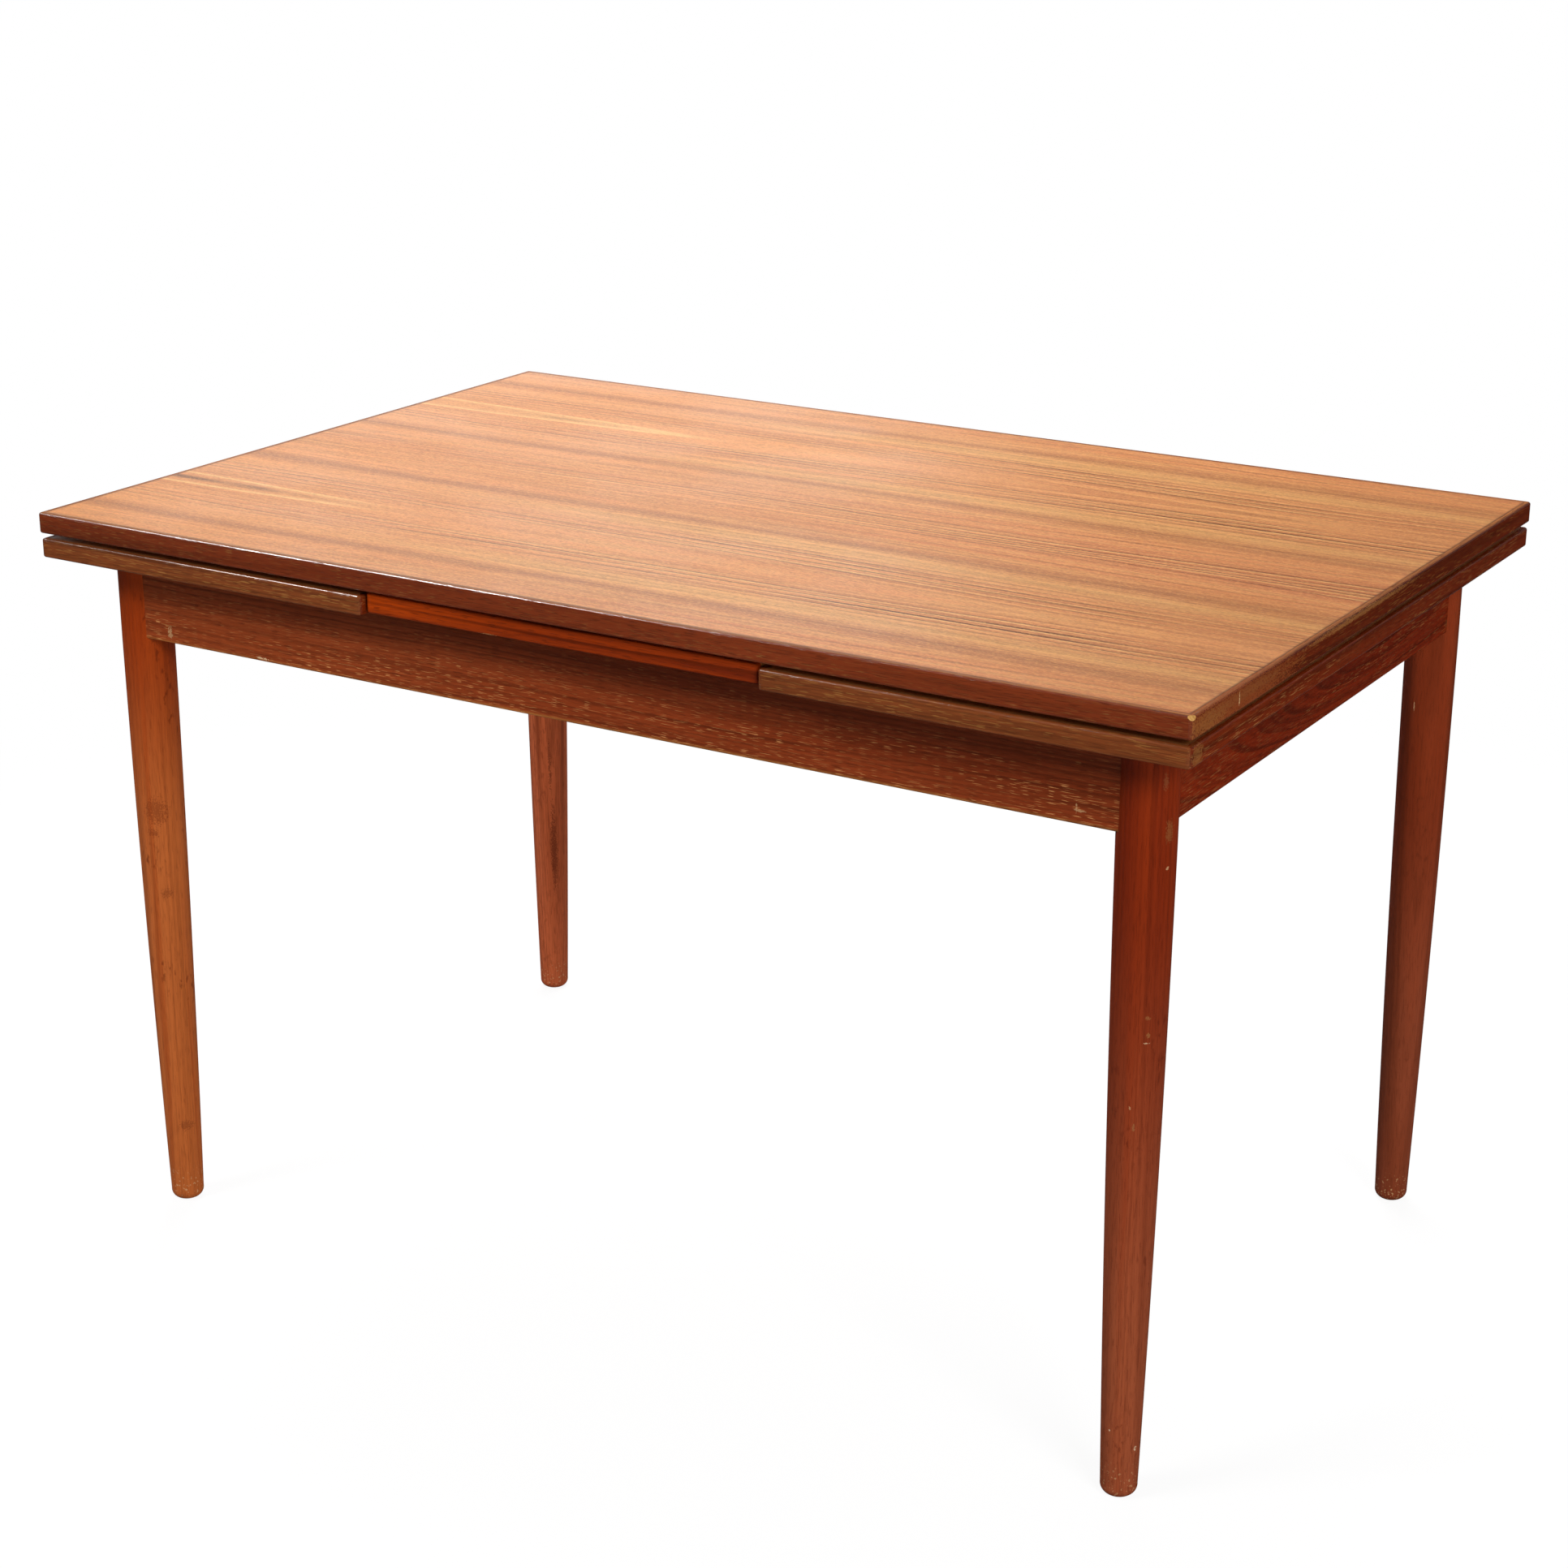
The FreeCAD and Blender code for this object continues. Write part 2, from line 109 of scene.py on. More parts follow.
class Finish:
    """One material, with short names for the nodes that it needs."""

    def __init__(self, name):
        self.material = bpy.data.materials.new(name)
        self.material.use_nodes = True
        self.tree = self.material.node_tree
        self.shader = self.tree.nodes["Principled BSDF"]
        place = self.node("ShaderNodeTexCoord").outputs["Object"]
        parts = self.node("ShaderNodeSeparateXYZ")
        self.feed(parts.inputs[0], place)
        self.x, self.y, self.z = parts.outputs

    def node(self, kind, **settings):
        made = self.tree.nodes.new(kind)
        for key, value in settings.items():
            setattr(made, key, value)
        return made

    def feed(self, socket, value):
        """Links a socket to a node's output, or sets it where the value is a constant."""
        if isinstance(value, bpy.types.NodeSocket):
            self.tree.links.new(value, socket)
        else:
            socket.default_value = value

    def calc(self, operation, *values):
        sum_node = self.node("ShaderNodeMath", operation=operation)
        for socket, value in zip(sum_node.inputs, values):
            self.feed(socket, value)
        return sum_node.outputs[0]

    def times(self, product, *values):
        for value in values:
            product = self.calc("MULTIPLY", product, value)
        return product

    def plus(self, total, *values):
        for value in values:
            total = self.calc("ADD", total, value)
        return total

    def rise(self, value, low, high, start=0.0, end=1.0):
        """Soft step from start, at low, to end, at high. With low above high it steps the other way."""
        step = self.node("ShaderNodeMapRange", interpolation_type="SMOOTHSTEP")
        for socket, setting in zip(step.inputs, (value, low, high, start, end)):
            self.feed(socket, setting)
        return step.outputs[0]

    def hill(self, value, middle, half):
        """One at the middle, and nothing further off than half."""
        return self.rise(self.calc("ABSOLUTE", self.calc("SUBTRACT", value, middle)), 0.0, half, 1.0, 0.0)

    def grain(self, along, across, depth, scales, seed=0.0, detail=2.0):
        """Noise between about 0.2 and 0.8, with its own number of features per metre each way."""
        whole = self.node("ShaderNodeCombineXYZ")
        for socket, value, scale in zip(whole.inputs, (along, across, depth), scales):
            self.feed(socket, self.calc("MULTIPLY_ADD", value, scale, seed))
        noise = self.node("ShaderNodeTexNoise")
        self.feed(noise.inputs["Vector"], whole.outputs[0])
        self.feed(noise.inputs["Scale"], 1.0)
        self.feed(noise.inputs["Detail"], detail)
        return noise.outputs[0]

    def speckle(self, per_metre, seed, detail):
        """Noise of the same size every way."""
        return self.grain(self.x, self.y, self.z, (per_metre,) * 3, seed, detail)

    def blend(self, share, first, second):
        mixer = self.node("ShaderNodeMix", data_type="RGBA")
        self.feed(mixer.inputs[0], share)
        self.feed(mixer.inputs[6], first)
        self.feed(mixer.inputs[7], second)
        return mixer.outputs[2]

    def lay(self, share, tone):
        """Lays a share of a tone over the colour so far."""
        self.colour = self.blend(share, self.colour, tone)

    def done(self, roughness, height, bump_depth, shine=0.5):
        bump = self.node("ShaderNodeBump")
        bump.inputs["Distance"].default_value = bump_depth
        self.feed(bump.inputs["Height"], height)
        self.feed(self.shader.inputs["Base Color"], self.colour)
        self.feed(self.shader.inputs["Roughness"], roughness)
        self.feed(self.shader.inputs["Normal"], bump.outputs[0])
        self.shader.inputs["Specular IOR Level"].default_value = shine
        return self.material


print("finish tools ready")

# %% [markdown]
# ## Lamps
#
# Furniture is often shown on white, under broad lamps in an otherwise dark studio. Two large lamps stand
# high in front, left and right, and throw the shadow of the leaves on the apron. A low one on the right
# reaches the legs under the table, and one hangs above the far left corner. These four light the wood, and
# they are hidden from the polish, where their images would cover the figure. Two more are there for the
# polish: a narrow strip high on the left, which gives only the bright line along the rounded front edge,
# and a pale panel behind on the left, which makes the top paler where it is mirrored. A picture of a studio
# could light it too, but lamps can be aimed one by one.


# %% Lamps
def lamp(name, place, target, width, height, radiance, lights=True, mirrored=False):
    """Rectangular lamp of an even brightness. It lights the wood, is mirrored in it, or both."""
    light = bpy.data.lights.new(name, "AREA")
    light.shape = "RECTANGLE"
    light.size = width
    light.size_y = height
    light.energy = math.pi * width * height * radiance
    holder = bpy.data.objects.new(name, light)
    holder.location = place
    holder.rotation_euler = (Vector(target) - Vector(place)).to_track_quat("-Z", "Y").to_euler()
    holder.visible_camera = False
    holder.visible_diffuse = lights
    holder.visible_glossy = mirrored
    scene.collection.objects.link(holder)


lamp("lamp_above", (-0.8, 1.5, 2.6), (-0.4, 0.4, 0), 2.2, 2.2, 4.1)
lamp("lamp_front_left", (-1.7, -2.9, 3.1), (0, -0.2, 0.6), 1.4, 1.2, 14)
lamp("lamp_front_right", (4.1, -2.9, 3.4), (0, 0, 0.6), 2.0, 1.8, 12)
lamp("lamp_low_right", (4.0, -1.9, 0.9), (0, 0, 0.4), 1.6, 1.0, 7.5)
lamp("mirrored_strip", (-2.2, -1.0, 3.0), (-0.35, -0.4, 0.74), 1.6, 0.5, 42, lights=False, mirrored=True)
lamp("mirrored_panel", (-2.9, 3.6, 1.8), (-0.25, 0.1, 0.8), 2.2, 1.8, 1.3, mirrored=True)
print("five lamps and a pale panel")

# %% [markdown]
# ## The room
#
# The camera looks at a white room. A room as white to the table would light it from all sides and take its
# shadows away. A Light Path node tells the rays apart: white for the camera, dim for all others.

# %% Room
room_strength = 0.1
white = 1.0

world = bpy.data.worlds.new("room")
scene.world = world
world.use_nodes = True
room = world.node_tree
surroundings = room.nodes["Background"]
surroundings.inputs["Color"].default_value = (1, 1, 1, 1)
ray = room.nodes.new("ShaderNodeLightPath")
strength = room.nodes.new("ShaderNodeMapRange")
strength.inputs["To Min"].default_value = room_strength
strength.inputs["To Max"].default_value = white
room.links.new(ray.outputs["Is Camera Ray"], strength.inputs["Value"])
room.links.new(strength.outputs["Result"], surroundings.inputs["Strength"])
print("room of strength", room_strength, "to the table")

# %% [markdown]
# ## The floor
#
# A pale floor under lamps turns grey away from them. So the camera sees it lifted to white by a glow, with
# a share of its own shadows near the feet, and only the plain floor throws light back on the table. The
# polish mirrors it much darker, because a white floor and room in it wash out the red of the right end.

# %% Floor
floor_reach = 60.0
floor_shade = 0.42
floor_mirrored = 0.06
floor_kept = 0.13
floor_lift = 0.91
shadow_reach = (0.9, 1.9)


def pale_floor():
    """Matt floor. The camera sees it lifted to white, with a share of its shadows near the table."""
    f = Finish("pale_floor")
    f.tree.nodes.remove(f.shader)
    path = f.node("ShaderNodeLightPath")
    bounce = f.node("ShaderNodeBsdfDiffuse").outputs[0]
    kept = f.node("ShaderNodeBsdfDiffuse").outputs[0]
    glow = f.node("ShaderNodeEmission").outputs[0]
    plain, mirrored, shadow = ((v, v, v, 1) for v in (floor_shade, floor_mirrored, floor_kept))
    f.feed(bounce.node.inputs["Color"], f.blend(path.outputs["Is Glossy Ray"], plain, mirrored))
    far = f.rise(f.calc("SQRT", f.plus(f.times(f.x, f.x), f.times(f.y, f.y))), *shadow_reach)
    f.feed(kept.node.inputs["Color"], f.blend(far, shadow, (0, 0, 0, 1)))
    f.feed(glow.node.inputs["Strength"], f.calc("MULTIPLY_ADD", far, white - floor_lift, floor_lift))
    both = f.node("ShaderNodeAddShader")
    pick = f.node("ShaderNodeMixShader")
    f.feed(both.inputs[0], kept)
    f.feed(both.inputs[1], glow)
    f.feed(pick.inputs[0], path.outputs["Is Camera Ray"])
    f.feed(pick.inputs[1], bounce)
    f.feed(pick.inputs[2], both.outputs[0])
    f.feed(f.tree.nodes["Material Output"].inputs["Surface"], pick.outputs[0])
    return f.material


floor_mesh = bmesh.new()
bmesh.ops.create_grid(floor_mesh, x_segments=1, y_segments=1, size=floor_reach)
floor_data = bpy.data.meshes.new("floor")
floor_mesh.to_mesh(floor_data)
floor_mesh.free()
floor_data.materials.append(pale_floor())
floor = bpy.data.objects.new("floor", floor_data)
scene.collection.objects.link(floor)
print("floor", 2 * floor_reach, "m wide")

# %% [markdown]
# ## Layers and rings
#
# A tree adds a layer round its heart each year: pale and open in spring, dark and dense later, up to a
# sharp edge. Blender's wave texture could draw such rings, but each would be like the next. Here the
# distance from the heart is counted in years, and every year has luck of its own, so that rings come and
# go along a board.

# %% Wood
late_from, late_full, late_until = 0.6, 0.88, 0.92
early_full, early_until = 0.06, 0.24
years_adrift = 2.5


class Wood(Finish):
    """Finish with layers. Each kind of wood says what far, layer, own and seed are.

    Far is a point's place along the fibres, layer its distance from the heart, and own tells sheets apart.
    """

    def layered(self, across, along, change, detail=2.0):
        """Noise that follows the layers, with so many features per metre across them and along them."""
        return self.grain(self.layer, self.far, self.own, (across, along, 1), self.seed + change, detail)

    def rings(self, per_metre, change=0.0):
        """Late wood, darkening up to a sharp edge, and the pale start of the next year. Both come and go."""
        drift = self.layered(45, 1.2, change + 1.7, 1.0)
        count = self.plus(self.times(self.layer, per_metre), self.times(drift, years_adrift))
        year = self.calc("FLOOR", count)
        part = self.calc("FRACT", count)
        luck = self.grain(self.far, year, self.own, (4, 5.37, 1), self.seed + change, 1.0)
        dark = self.times(self.rise(part, late_from, late_full), self.rise(part, late_until, 1.0, 1.0, 0.0))
        pale = self.rise(part, early_full, early_until, 1.0, 0.0)
        late = self.times(dark, self.rise(luck, 0.3, 0.6, 0.25, 1.0))
        early = self.times(pale, self.rise(luck, 0.3, 0.6, 0.2, 1.0))
        return late, early


print("late wood fills", round(1 - late_from, 2), "of a year")

# %% [markdown]
# ## Crown-cut veneer: how the sheets lie
#
# The top is covered with sheets sliced one after another from the same log and laid side by side, so the
# figure of the back half comes again in the front half. Each sheet was cut beside the heart. Along the
# middle of a sheet the layers therefore close in long, narrow arches, and towards its sides they run
# almost straight. One formula for the distance from the heart gives both.

# %% Sheets
sheet_width = 0.42
sheet_change = 0.15
heart_line = 0.19
cut_depth = 0.02
taper = 0.012
slow_wander = 0.02
quick_wander = 0.0024
ring_count = 108.0
calm_end, lively_end = -0.5, 0.25


class Sheets(Wood):
    """Veneer in matched sheets from the back edge on. The lively end is the left one if line_side is -1."""

    def __init__(self, name, back_edge, seed, tones, line_side):
        super().__init__(name)
        self.honey, self.tan, self.russet, self.umber, self.bark, self.straw, self.gold = map(paint, tones)
        self.seed = seed
        self.far = self.x
        run = self.calc("DIVIDE", self.calc("SUBTRACT", back_edge, self.y), sheet_width)
        self.sheet = self.calc("FLOOR", run)
        self.own = self.calc("MULTIPLY_ADD", self.sheet, sheet_change, seed)
        side = self.calc("MULTIPLY_ADD", self.calc("FRACT", run), sheet_width, -heart_line)
        slow = self.plus(self.grain(self.x, side, self.own, (1.7, 7, 1), seed), -0.5)
        quick = self.plus(self.grain(self.x, side, self.own, (9, 50, 1), seed), -0.5)
        self.side = self.plus(side, self.times(slow, slow_wander), self.times(quick, quick_wander))
        self.depth = self.calc("SQRT", self.calc("MULTIPLY_ADD", self.side, self.side, cut_depth ** 2))
        self.layer = self.calc("MULTIPLY_ADD", self.x, taper, self.depth)
        self.toward = self.times(self.x, line_side)
        self.lively = self.rise(self.toward, calm_end, lively_end, 0.45, 1.0)
        self.streak = self.layered(120, 2.4, 4)
        self.fine = self.layered(330, 5, 9)
        self.late, self.early = self.rings(ring_count)


print("veneer in sheets of", sheet_width, "m")

# %% [markdown]
# ## Veneer: the broad colours
#
# Before any line is drawn, the ground drifts from honey to tan. A golden band and a darker one run along
# each sheet, and its outer part is russet towards one end, where the streaks are stronger too. All are tied
# to the depth in the log, so that they match from sheet to sheet.

# %% Ground of the veneer
red_from, red_full = 0.14, 0.17
golden_band, golden_half = 0.096, 0.03
dark_band, dark_half = 0.122, 0.02
wide_rings = 0.56


def ground(f):
    """Broad colours, under all lines."""
    broad = f.layered(30, 1.0, 0, 3.0)
    tint = f.layered(55, 1.6, 6)
    f.colour = f.blend(f.rise(broad, 0.3, 0.7), f.honey, f.tan)
    reddish = f.times(f.rise(f.depth, red_from, red_full), f.rise(f.toward, -0.1, 0.3),
                      f.rise(tint, 0.3, 0.6, 0.2, 0.8))
    f.lay(reddish, f.russet)
    golden = f.times(f.hill(f.depth, golden_band, golden_half), f.rise(f.toward, -0.4, 0.05, 0.1, 0.8),
                     f.rise(broad, 0.65, 0.45, 0.4, 1.0))
    f.lay(golden, f.straw)
    darker = f.times(f.hill(f.depth, dark_band, dark_half), f.rise(broad, 0.2, 0.6, 0.3, 0.6))
    f.lay(f.calc("MAXIMUM", darker, f.rise(tint, 0.45, 0.72, 0.0, 0.3)), f.umber)
    for band, share in ((f.streak, 0.34), (f.fine, 0.22)):
        f.lay(f.times(f.rise(band, 0.52, 0.7, 0.0, share), f.lively), f.umber)
        f.lay(f.times(f.rise(band, 0.46, 0.3, 0.0, share), f.lively), f.straw)
    late, early = f.rings(ring_count * wide_rings, 5)
    f.lay(f.times(late, f.lively, 0.32), f.umber)
    f.lay(f.times(early, f.lively, 0.3), f.straw)


print("golden band", golden_band, "m and dark band", dark_band, "m from the heart")

# %% [markdown]
# ## Veneer: sapwood and dark lines
#
# On the left the first arch encloses pale sapwood, with one dark line in it. The sheet in front was sliced
# later, so its sapwood ends sooner and is fainter. Dark rings stand in two groups, one close to the heart
# and one far out. A stain lies near the left edge. Each of these is placed by values of its own.

# %% Figure of the veneer
arch_taper = 0.021
arch_tip = -0.18
arch_wander = 0.004
front_shorter = 0.13
sapwood_full = -0.3
sapwood_share, sapwood_less = 0.4, 0.3
rim_depth, rim_half = 0.002, 0.003
line_depth, line_half = 0.0055, 0.0011
line_start, line_full, line_fading = -0.5, -0.36, -0.24
stain_line, stain_half = -0.212, 0.009
stain_start, stain_full = -0.42, -0.5
inner_group = (0.028, 0.04, 0.07, 0.086)
outer_group = (0.178, 0.19, 0.222, 0.24)


def sapwood(f):
    """Pale sapwood in the first arch, the dark line in it, and the stain."""
    first_arch = cut_depth + arch_taper * arch_tip
    arch = f.calc("MULTIPLY_ADD", f.x, arch_taper, f.depth)
    bent = f.plus(arch, f.times(f.plus(f.streak, -0.5), arch_wander))
    ended = f.calc("MULTIPLY_ADD", f.sheet, front_shorter, f.x)
    rim = f.hill(bent, first_arch - rim_depth, rim_half)
    filled = f.times(f.rise(bent, first_arch - rim_half, first_arch, 1.0, 0.0),
                     f.calc("MULTIPLY_ADD", f.sheet, -sapwood_less, sapwood_share))
    pale = f.times(f.calc("MAXIMUM", rim, filled), f.rise(f.streak, 0.62, 0.4, 0.2, 0.85),
                   f.rise(ended, arch_tip, sapwood_full))
    f.lay(pale, f.gold)
    inside = f.times(f.hill(bent, first_arch - line_depth, line_half), f.rise(f.x, line_start, line_full),
                     f.rise(f.x, line_fading, arch_tip, 0.5, 0.0))
    stain = f.times(f.hill(f.y, stain_line, stain_half), f.rise(f.x, stain_start, stain_full),
                    f.rise(f.fine, 0.4, 0.6, 0.3, 0.9))
    f.lay(f.calc("MAXIMUM", inside, stain), f.bark)


def plateau(f, value, start, full, until, end):
    """One from full to until, with soft sides."""
    return f.times(f.rise(value, start, full), f.rise(value, until, end, 1.0, 0.0))


def dark_lines(f):
    """Dark late wood in two groups of rings, each ring with a pale start of the next year."""
    inner = plateau(f, f.depth, *inner_group)
    outer = plateau(f, f.depth, *outer_group)
    patch = f.rise(f.grain(f.x, f.side, f.own, (4, 14, 1), f.seed + 3, 2.0), 0.36, 0.6, 0.5, 1.0)
    groups = f.times(f.plus(f.times(inner, 0.95), f.times(outer, 0.8), 0.16), patch, f.lively)
    f.lay(f.times(f.late, groups), f.bark)
    f.lay(f.times(f.early, groups), f.gold)


print("sapwood as far as x =", arch_tip)

# %% [markdown]
# ## Veneer: fibres, pores and polish
#
# Close up, teak shows fine fibres, open pores and a little grit. They colour the face, and the fibres and
# pores also dent it. Old oil has left it half matt, a little uneven from wiping. The lively end is painted a
# shade darker as painted shade, where the lamps fall off, and grime has gathered along the glue lines, where
# the panel carries an attribute for it.

# %% Veneer
veneer_dent = 0.00012
veneer_shine = 0.45
top_tones = ("f09f5d", "db884d", "dc7e48", "a26036", "5a2f1c", "f8ba6c", "fcca7e")
leaf_tones = ("c8803f", "b06a34", "b0622f", "8a4e28", "5d3420", "d89c5c", "e0aa5f")
leaf_sheet_edge = 0.345


def veneer(name, back_edge, seed, tones, line_side=1.0):
    """Tones are honey, tan, russet, umber, bark, straw and gold."""
    f = Sheets(name, back_edge, seed, tones, line_side)
    fibre = f.grain(f.x, f.side, f.z, (24, 1000, 1000), seed, 2.0)
    pores = f.grain(f.x, f.side, f.z, (110, 1300, 1300), seed + 2, 0.0)
    grit = f.grain(f.x, f.side, f.z, (300, 800, 800), seed + 8, 1.0)
    ground(f)
    sapwood(f)
    dark_lines(f)
    f.lay(f.rise(fibre, 0.42, 0.72, 0.0, 0.25), f.umber)
    f.lay(f.rise(pores, 0.6, 0.7, 0.0, 0.3), f.bark)
    f.lay(f.rise(grit, 0.52, 0.68, 0.0, 0.3), f.umber)
    f.lay(f.rise(grit, 0.48, 0.32, 0.0, 0.35), f.straw)
    # Painted shade: the lively end is darkened where the lamps fall off.
    f.lay(f.rise(f.toward, 0.3, 0.6, 0.0, 0.18), f.umber)
    grime = f.node("ShaderNodeAttribute", attribute_name="grime").outputs["Fac"]
    f.lay(f.times(f.calc("POWER", grime, 2.0), 0.75), f.bark)
    smear = f.grain(f.x, f.y, f.z, (5, 7, 7), seed + 6, 3.0)
    rough = f.plus(f.rise(smear, 0.3, 0.7, 0.34, 0.42), f.times(fibre, 0.06))
    height = f.plus(f.times(fibre, 0.4), f.rise(pores, 0.6, 0.74, 0.0, -0.6), f.times(f.late, -0.3))
    return f.done(rough, height, veneer_dent, veneer_shine)


top_veneer = veneer("top_veneer", cad_high[1], 2.7, top_tones)
leaf_veneer = veneer("leaf_veneer", leaf_sheet_edge, 7.9, leaf_tones, -1.0)
print("two veneers, for the top and for the leaves")

# %% [markdown]
# ## Solid timber: where a piece lay in its log
#
# Legs, aprons and edge strips are sawn and turned from the solid. Their layers lie round a heart outside
# the piece, so a face shows them as straight lines, and as an eye of arches where it runs along them. The
# distance to the heart comes from the place in the table, so lines go round a turned leg as they should.

# %% Timber
shake_reach = 0.0012


class Timber(Wood):
    """Solid timber, grown along one axis. Heart is where the middle of the log lies on the other two.

    Sway is how far the layers wander, and eye, where given, is the place of an eye of arches and its spread.
    """

    def __init__(self, name, along, heart, seed, sway, eye):
        super().__init__(name)
        self.seed = self.own = seed
        axes = {"x": self.x, "y": self.y, "z": self.z}
        self.far = axes.pop(along)
        self.u, self.v = axes.values()
        bend = self.plus(self.drawn(2.2, 9, 0), -0.5)
        shake = self.plus(self.drawn(14, 60, 0, 1.0), -0.5)
        du = self.plus(self.calc("ABSOLUTE", self.u), -heart[0])
        dv = self.plus(self.v, -heart[1])
        square = self.plus(self.times(du, du), self.times(dv, dv))
        if eye:
            turned = self.times(self.plus(self.far, -eye[0]), eye[1])
            square = self.plus(square, self.times(turned, turned))
        straight = self.calc("SQRT", square)
        self.layer = self.plus(straight, self.times(bend, sway), self.times(shake, shake_reach))

    def drawn(self, along, across, change, detail=2.0):
        """Noise drawn out along the fibres, with so many features per metre along and across them."""
        return self.grain(self.far, self.u, self.v, (along, across, across), self.seed + change, detail)


print("layers shaken by", shake_reach, "m")

# %% [markdown]
# ## Solid timber: flecks and wear
#
# Teak's pores are long scratches. On old faces they hold dust and wax, and show as short golden dashes.
# Chairs and hands leave dark smudges, and feet are chipped close to the floor. Noise gives such wear
# everywhere, and a few marks that stand out are listed one by one: each has a centre, a size, a tone and a
# strength, and a ragged rim.

# %% Wear
dashes_along, dashes_across = 85, 1700
flecks_left = 0.2
speck_high, speck_low = 0.045, 0.015
speck_tone = "d8aa78"
ragged_size = 700
ragged_share = 4.0


def flecked(f, crowd, share, tone, fade):
    """Pale dashes in crowds, thinned out from the first height of the fade to the second."""
    dashes = f.drawn(dashes_along, dashes_across, 7, 0.0)
    kept = f.rise(f.z, *fade, 1.0, flecks_left)
    seen = f.times(f.rise(dashes, 0.64, 0.72), f.rise(crowd, 0.36, 0.62, 0.2, 1.0), kept, share)
    f.lay(seen, paint(tone))


def smudged(f, share, dark):
    """Dark smudges in a few places."""
    where = f.rise(f.grain(f.x, f.y, f.z, (10, 30, 10), f.seed + 12, 1.0), 0.5, 0.62)
    smudge = f.drawn(90, 190, 11, 3.0)
    f.lay(f.times(f.rise(smudge, 0.56, 0.68), where, share), dark)


def chipped_foot(f, share):
    """Pale specks close to the floor."""
    specks = f.speckle(380, f.seed + 13, 1.0)
    foot = f.rise(f.z, speck_high, speck_low)
    f.lay(f.times(f.rise(specks, 0.62, 0.7), foot, share), paint(speck_tone))


def near(f, centre, size):
    """One at a centre, falling to nothing at that size round it, broken up as a rub or a chip is."""
    ragged = f.plus(f.speckle(ragged_size, 3.1, 3.0), -0.5)
    squares = []
    for value, middle, half in zip((f.x, f.y, f.z), centre, size):
        off = f.calc("DIVIDE", f.calc("SUBTRACT", value, middle), half)
        squares.append(f.times(off, off))
    return f.rise(f.plus(*squares, f.times(ragged, ragged_share)), 0.3, 0.7, 1.0, 0.0)


print("chips as high as", speck_high, "m")

# %% [markdown]
# ## Solid timber: the finish
#
# One recipe serves every solid piece: a ground of two tones, streaks, lines and rings in the dark one,
# then fibres, pores and wear. What differs from piece to piece is set by values, so that each edge, apron
# and leg keeps a colour and a figure of its own, as timbers from different boards do.

# %% Solid wood
solid_dent = 0.00015


def solid(name, along, heart, tones, flecks=0.0, fleck_tone="c08a50", seed=0.0, fleck_fade=(0.8, 0.9),
          sway=0.006, eye=None, spacing=150.0, ringed=0.45, streaked=0.35, scratched=1.0, rough=0.42,
          shine=0.12, bands=(), fades=(), marks=(), scuffed=0.0, chipped=0.0):
    """Finish of solid timber. Tones are light, middle and dark, and spacing is the rings per metre.

    Bands tint it by height and fades along the timber: each has a start, an end, a tone and a strength.
    Flecks, ringed, streaked, scratched, scuffed and chipped say how strongly each of these shows.
    """
    light, middle, dark = map(paint, tones)
    f = Timber(name, along, heart, seed, sway, eye)
    broad = f.layered(60, 1.6, 0, 3.0)
    lines = f.layered(spacing * 3, 2.2, 3)
    streak = f.layered(130, 1.3, 8)
    fibre = f.drawn(30, 900, 0)
    pores = f.drawn(70, 1300, 2, 0.0)
    crowd = f.drawn(7, 70, 5)
    late, early = f.rings(spacing)

    f.colour = f.blend(f.rise(broad, 0.32, 0.68), light, middle)
    for place, tints in ((f.z, bands), (f.far, fades)):
        for start, end, tone, strength in tints:
            f.lay(f.rise(place, start, end, 0.0, strength), paint(tone))
    f.lay(f.rise(streak, 0.5, 0.7, 0.0, streaked), dark)
    f.lay(f.rise(streak, 0.45, 0.3, 0.0, streaked), light)
    f.lay(f.rise(lines, 0.46, 0.7, 0.0, 0.4 * scratched), dark)
    f.lay(f.times(late, ringed), dark)
    f.lay(f.times(early, ringed, 0.6), light)
    f.lay(f.rise(fibre, 0.45, 0.75, 0.0, 0.3 * scratched), dark)
    f.lay(f.rise(pores, 0.62, 0.7, 0.0, 0.45 * scratched), dark)
    if flecks:
        flecked(f, crowd, flecks, fleck_tone, fleck_fade)
    if scuffed:
        smudged(f, scuffed, dark)
    if chipped:
        chipped_foot(f, chipped)
    for centre, size, tone, strength in marks:
        f.lay(f.times(near(f, centre, size), strength), paint(tone))
    roughness = f.plus(f.rise(crowd, 0.3, 0.7, rough - 0.05, rough + 0.06), f.times(fibre, 0.06))
    height = f.plus(f.times(fibre, 0.5), f.rise(pores, 0.6, 0.72, 0.0, -0.6), f.times(late, -0.2))
    return f.done(roughness, height, solid_dent, shine)


print("recipe for solid wood ready")

# %% [markdown]
# ## Wood of the edges
#
# The edge strips are darker than the veneer and a little redder at the ends. Hands and cloths have rubbed
# their rounded arrises bright, so each strip has a second, smoother finish for those. The upper faces of
# the top's strips are paler, as the veneer is. The right end has the most rubs and one pale scratch. The
# fixed board's edge is a wilder, redder wood.

# %% Edges
rubbed_rough = 0.2
rubbed_shine = 0.8


def edge_pair(name, along, heart, tones, **rest):
    """Finish of a strip's face, and of its rounded arrises, which are rubbed bright."""
    face = solid(name, along, heart, tones, **rest)
    rest.update(rough=rubbed_rough, shine=rubbed_shine)
    return face, solid(name + "_arris", along, heart, tones, **rest)


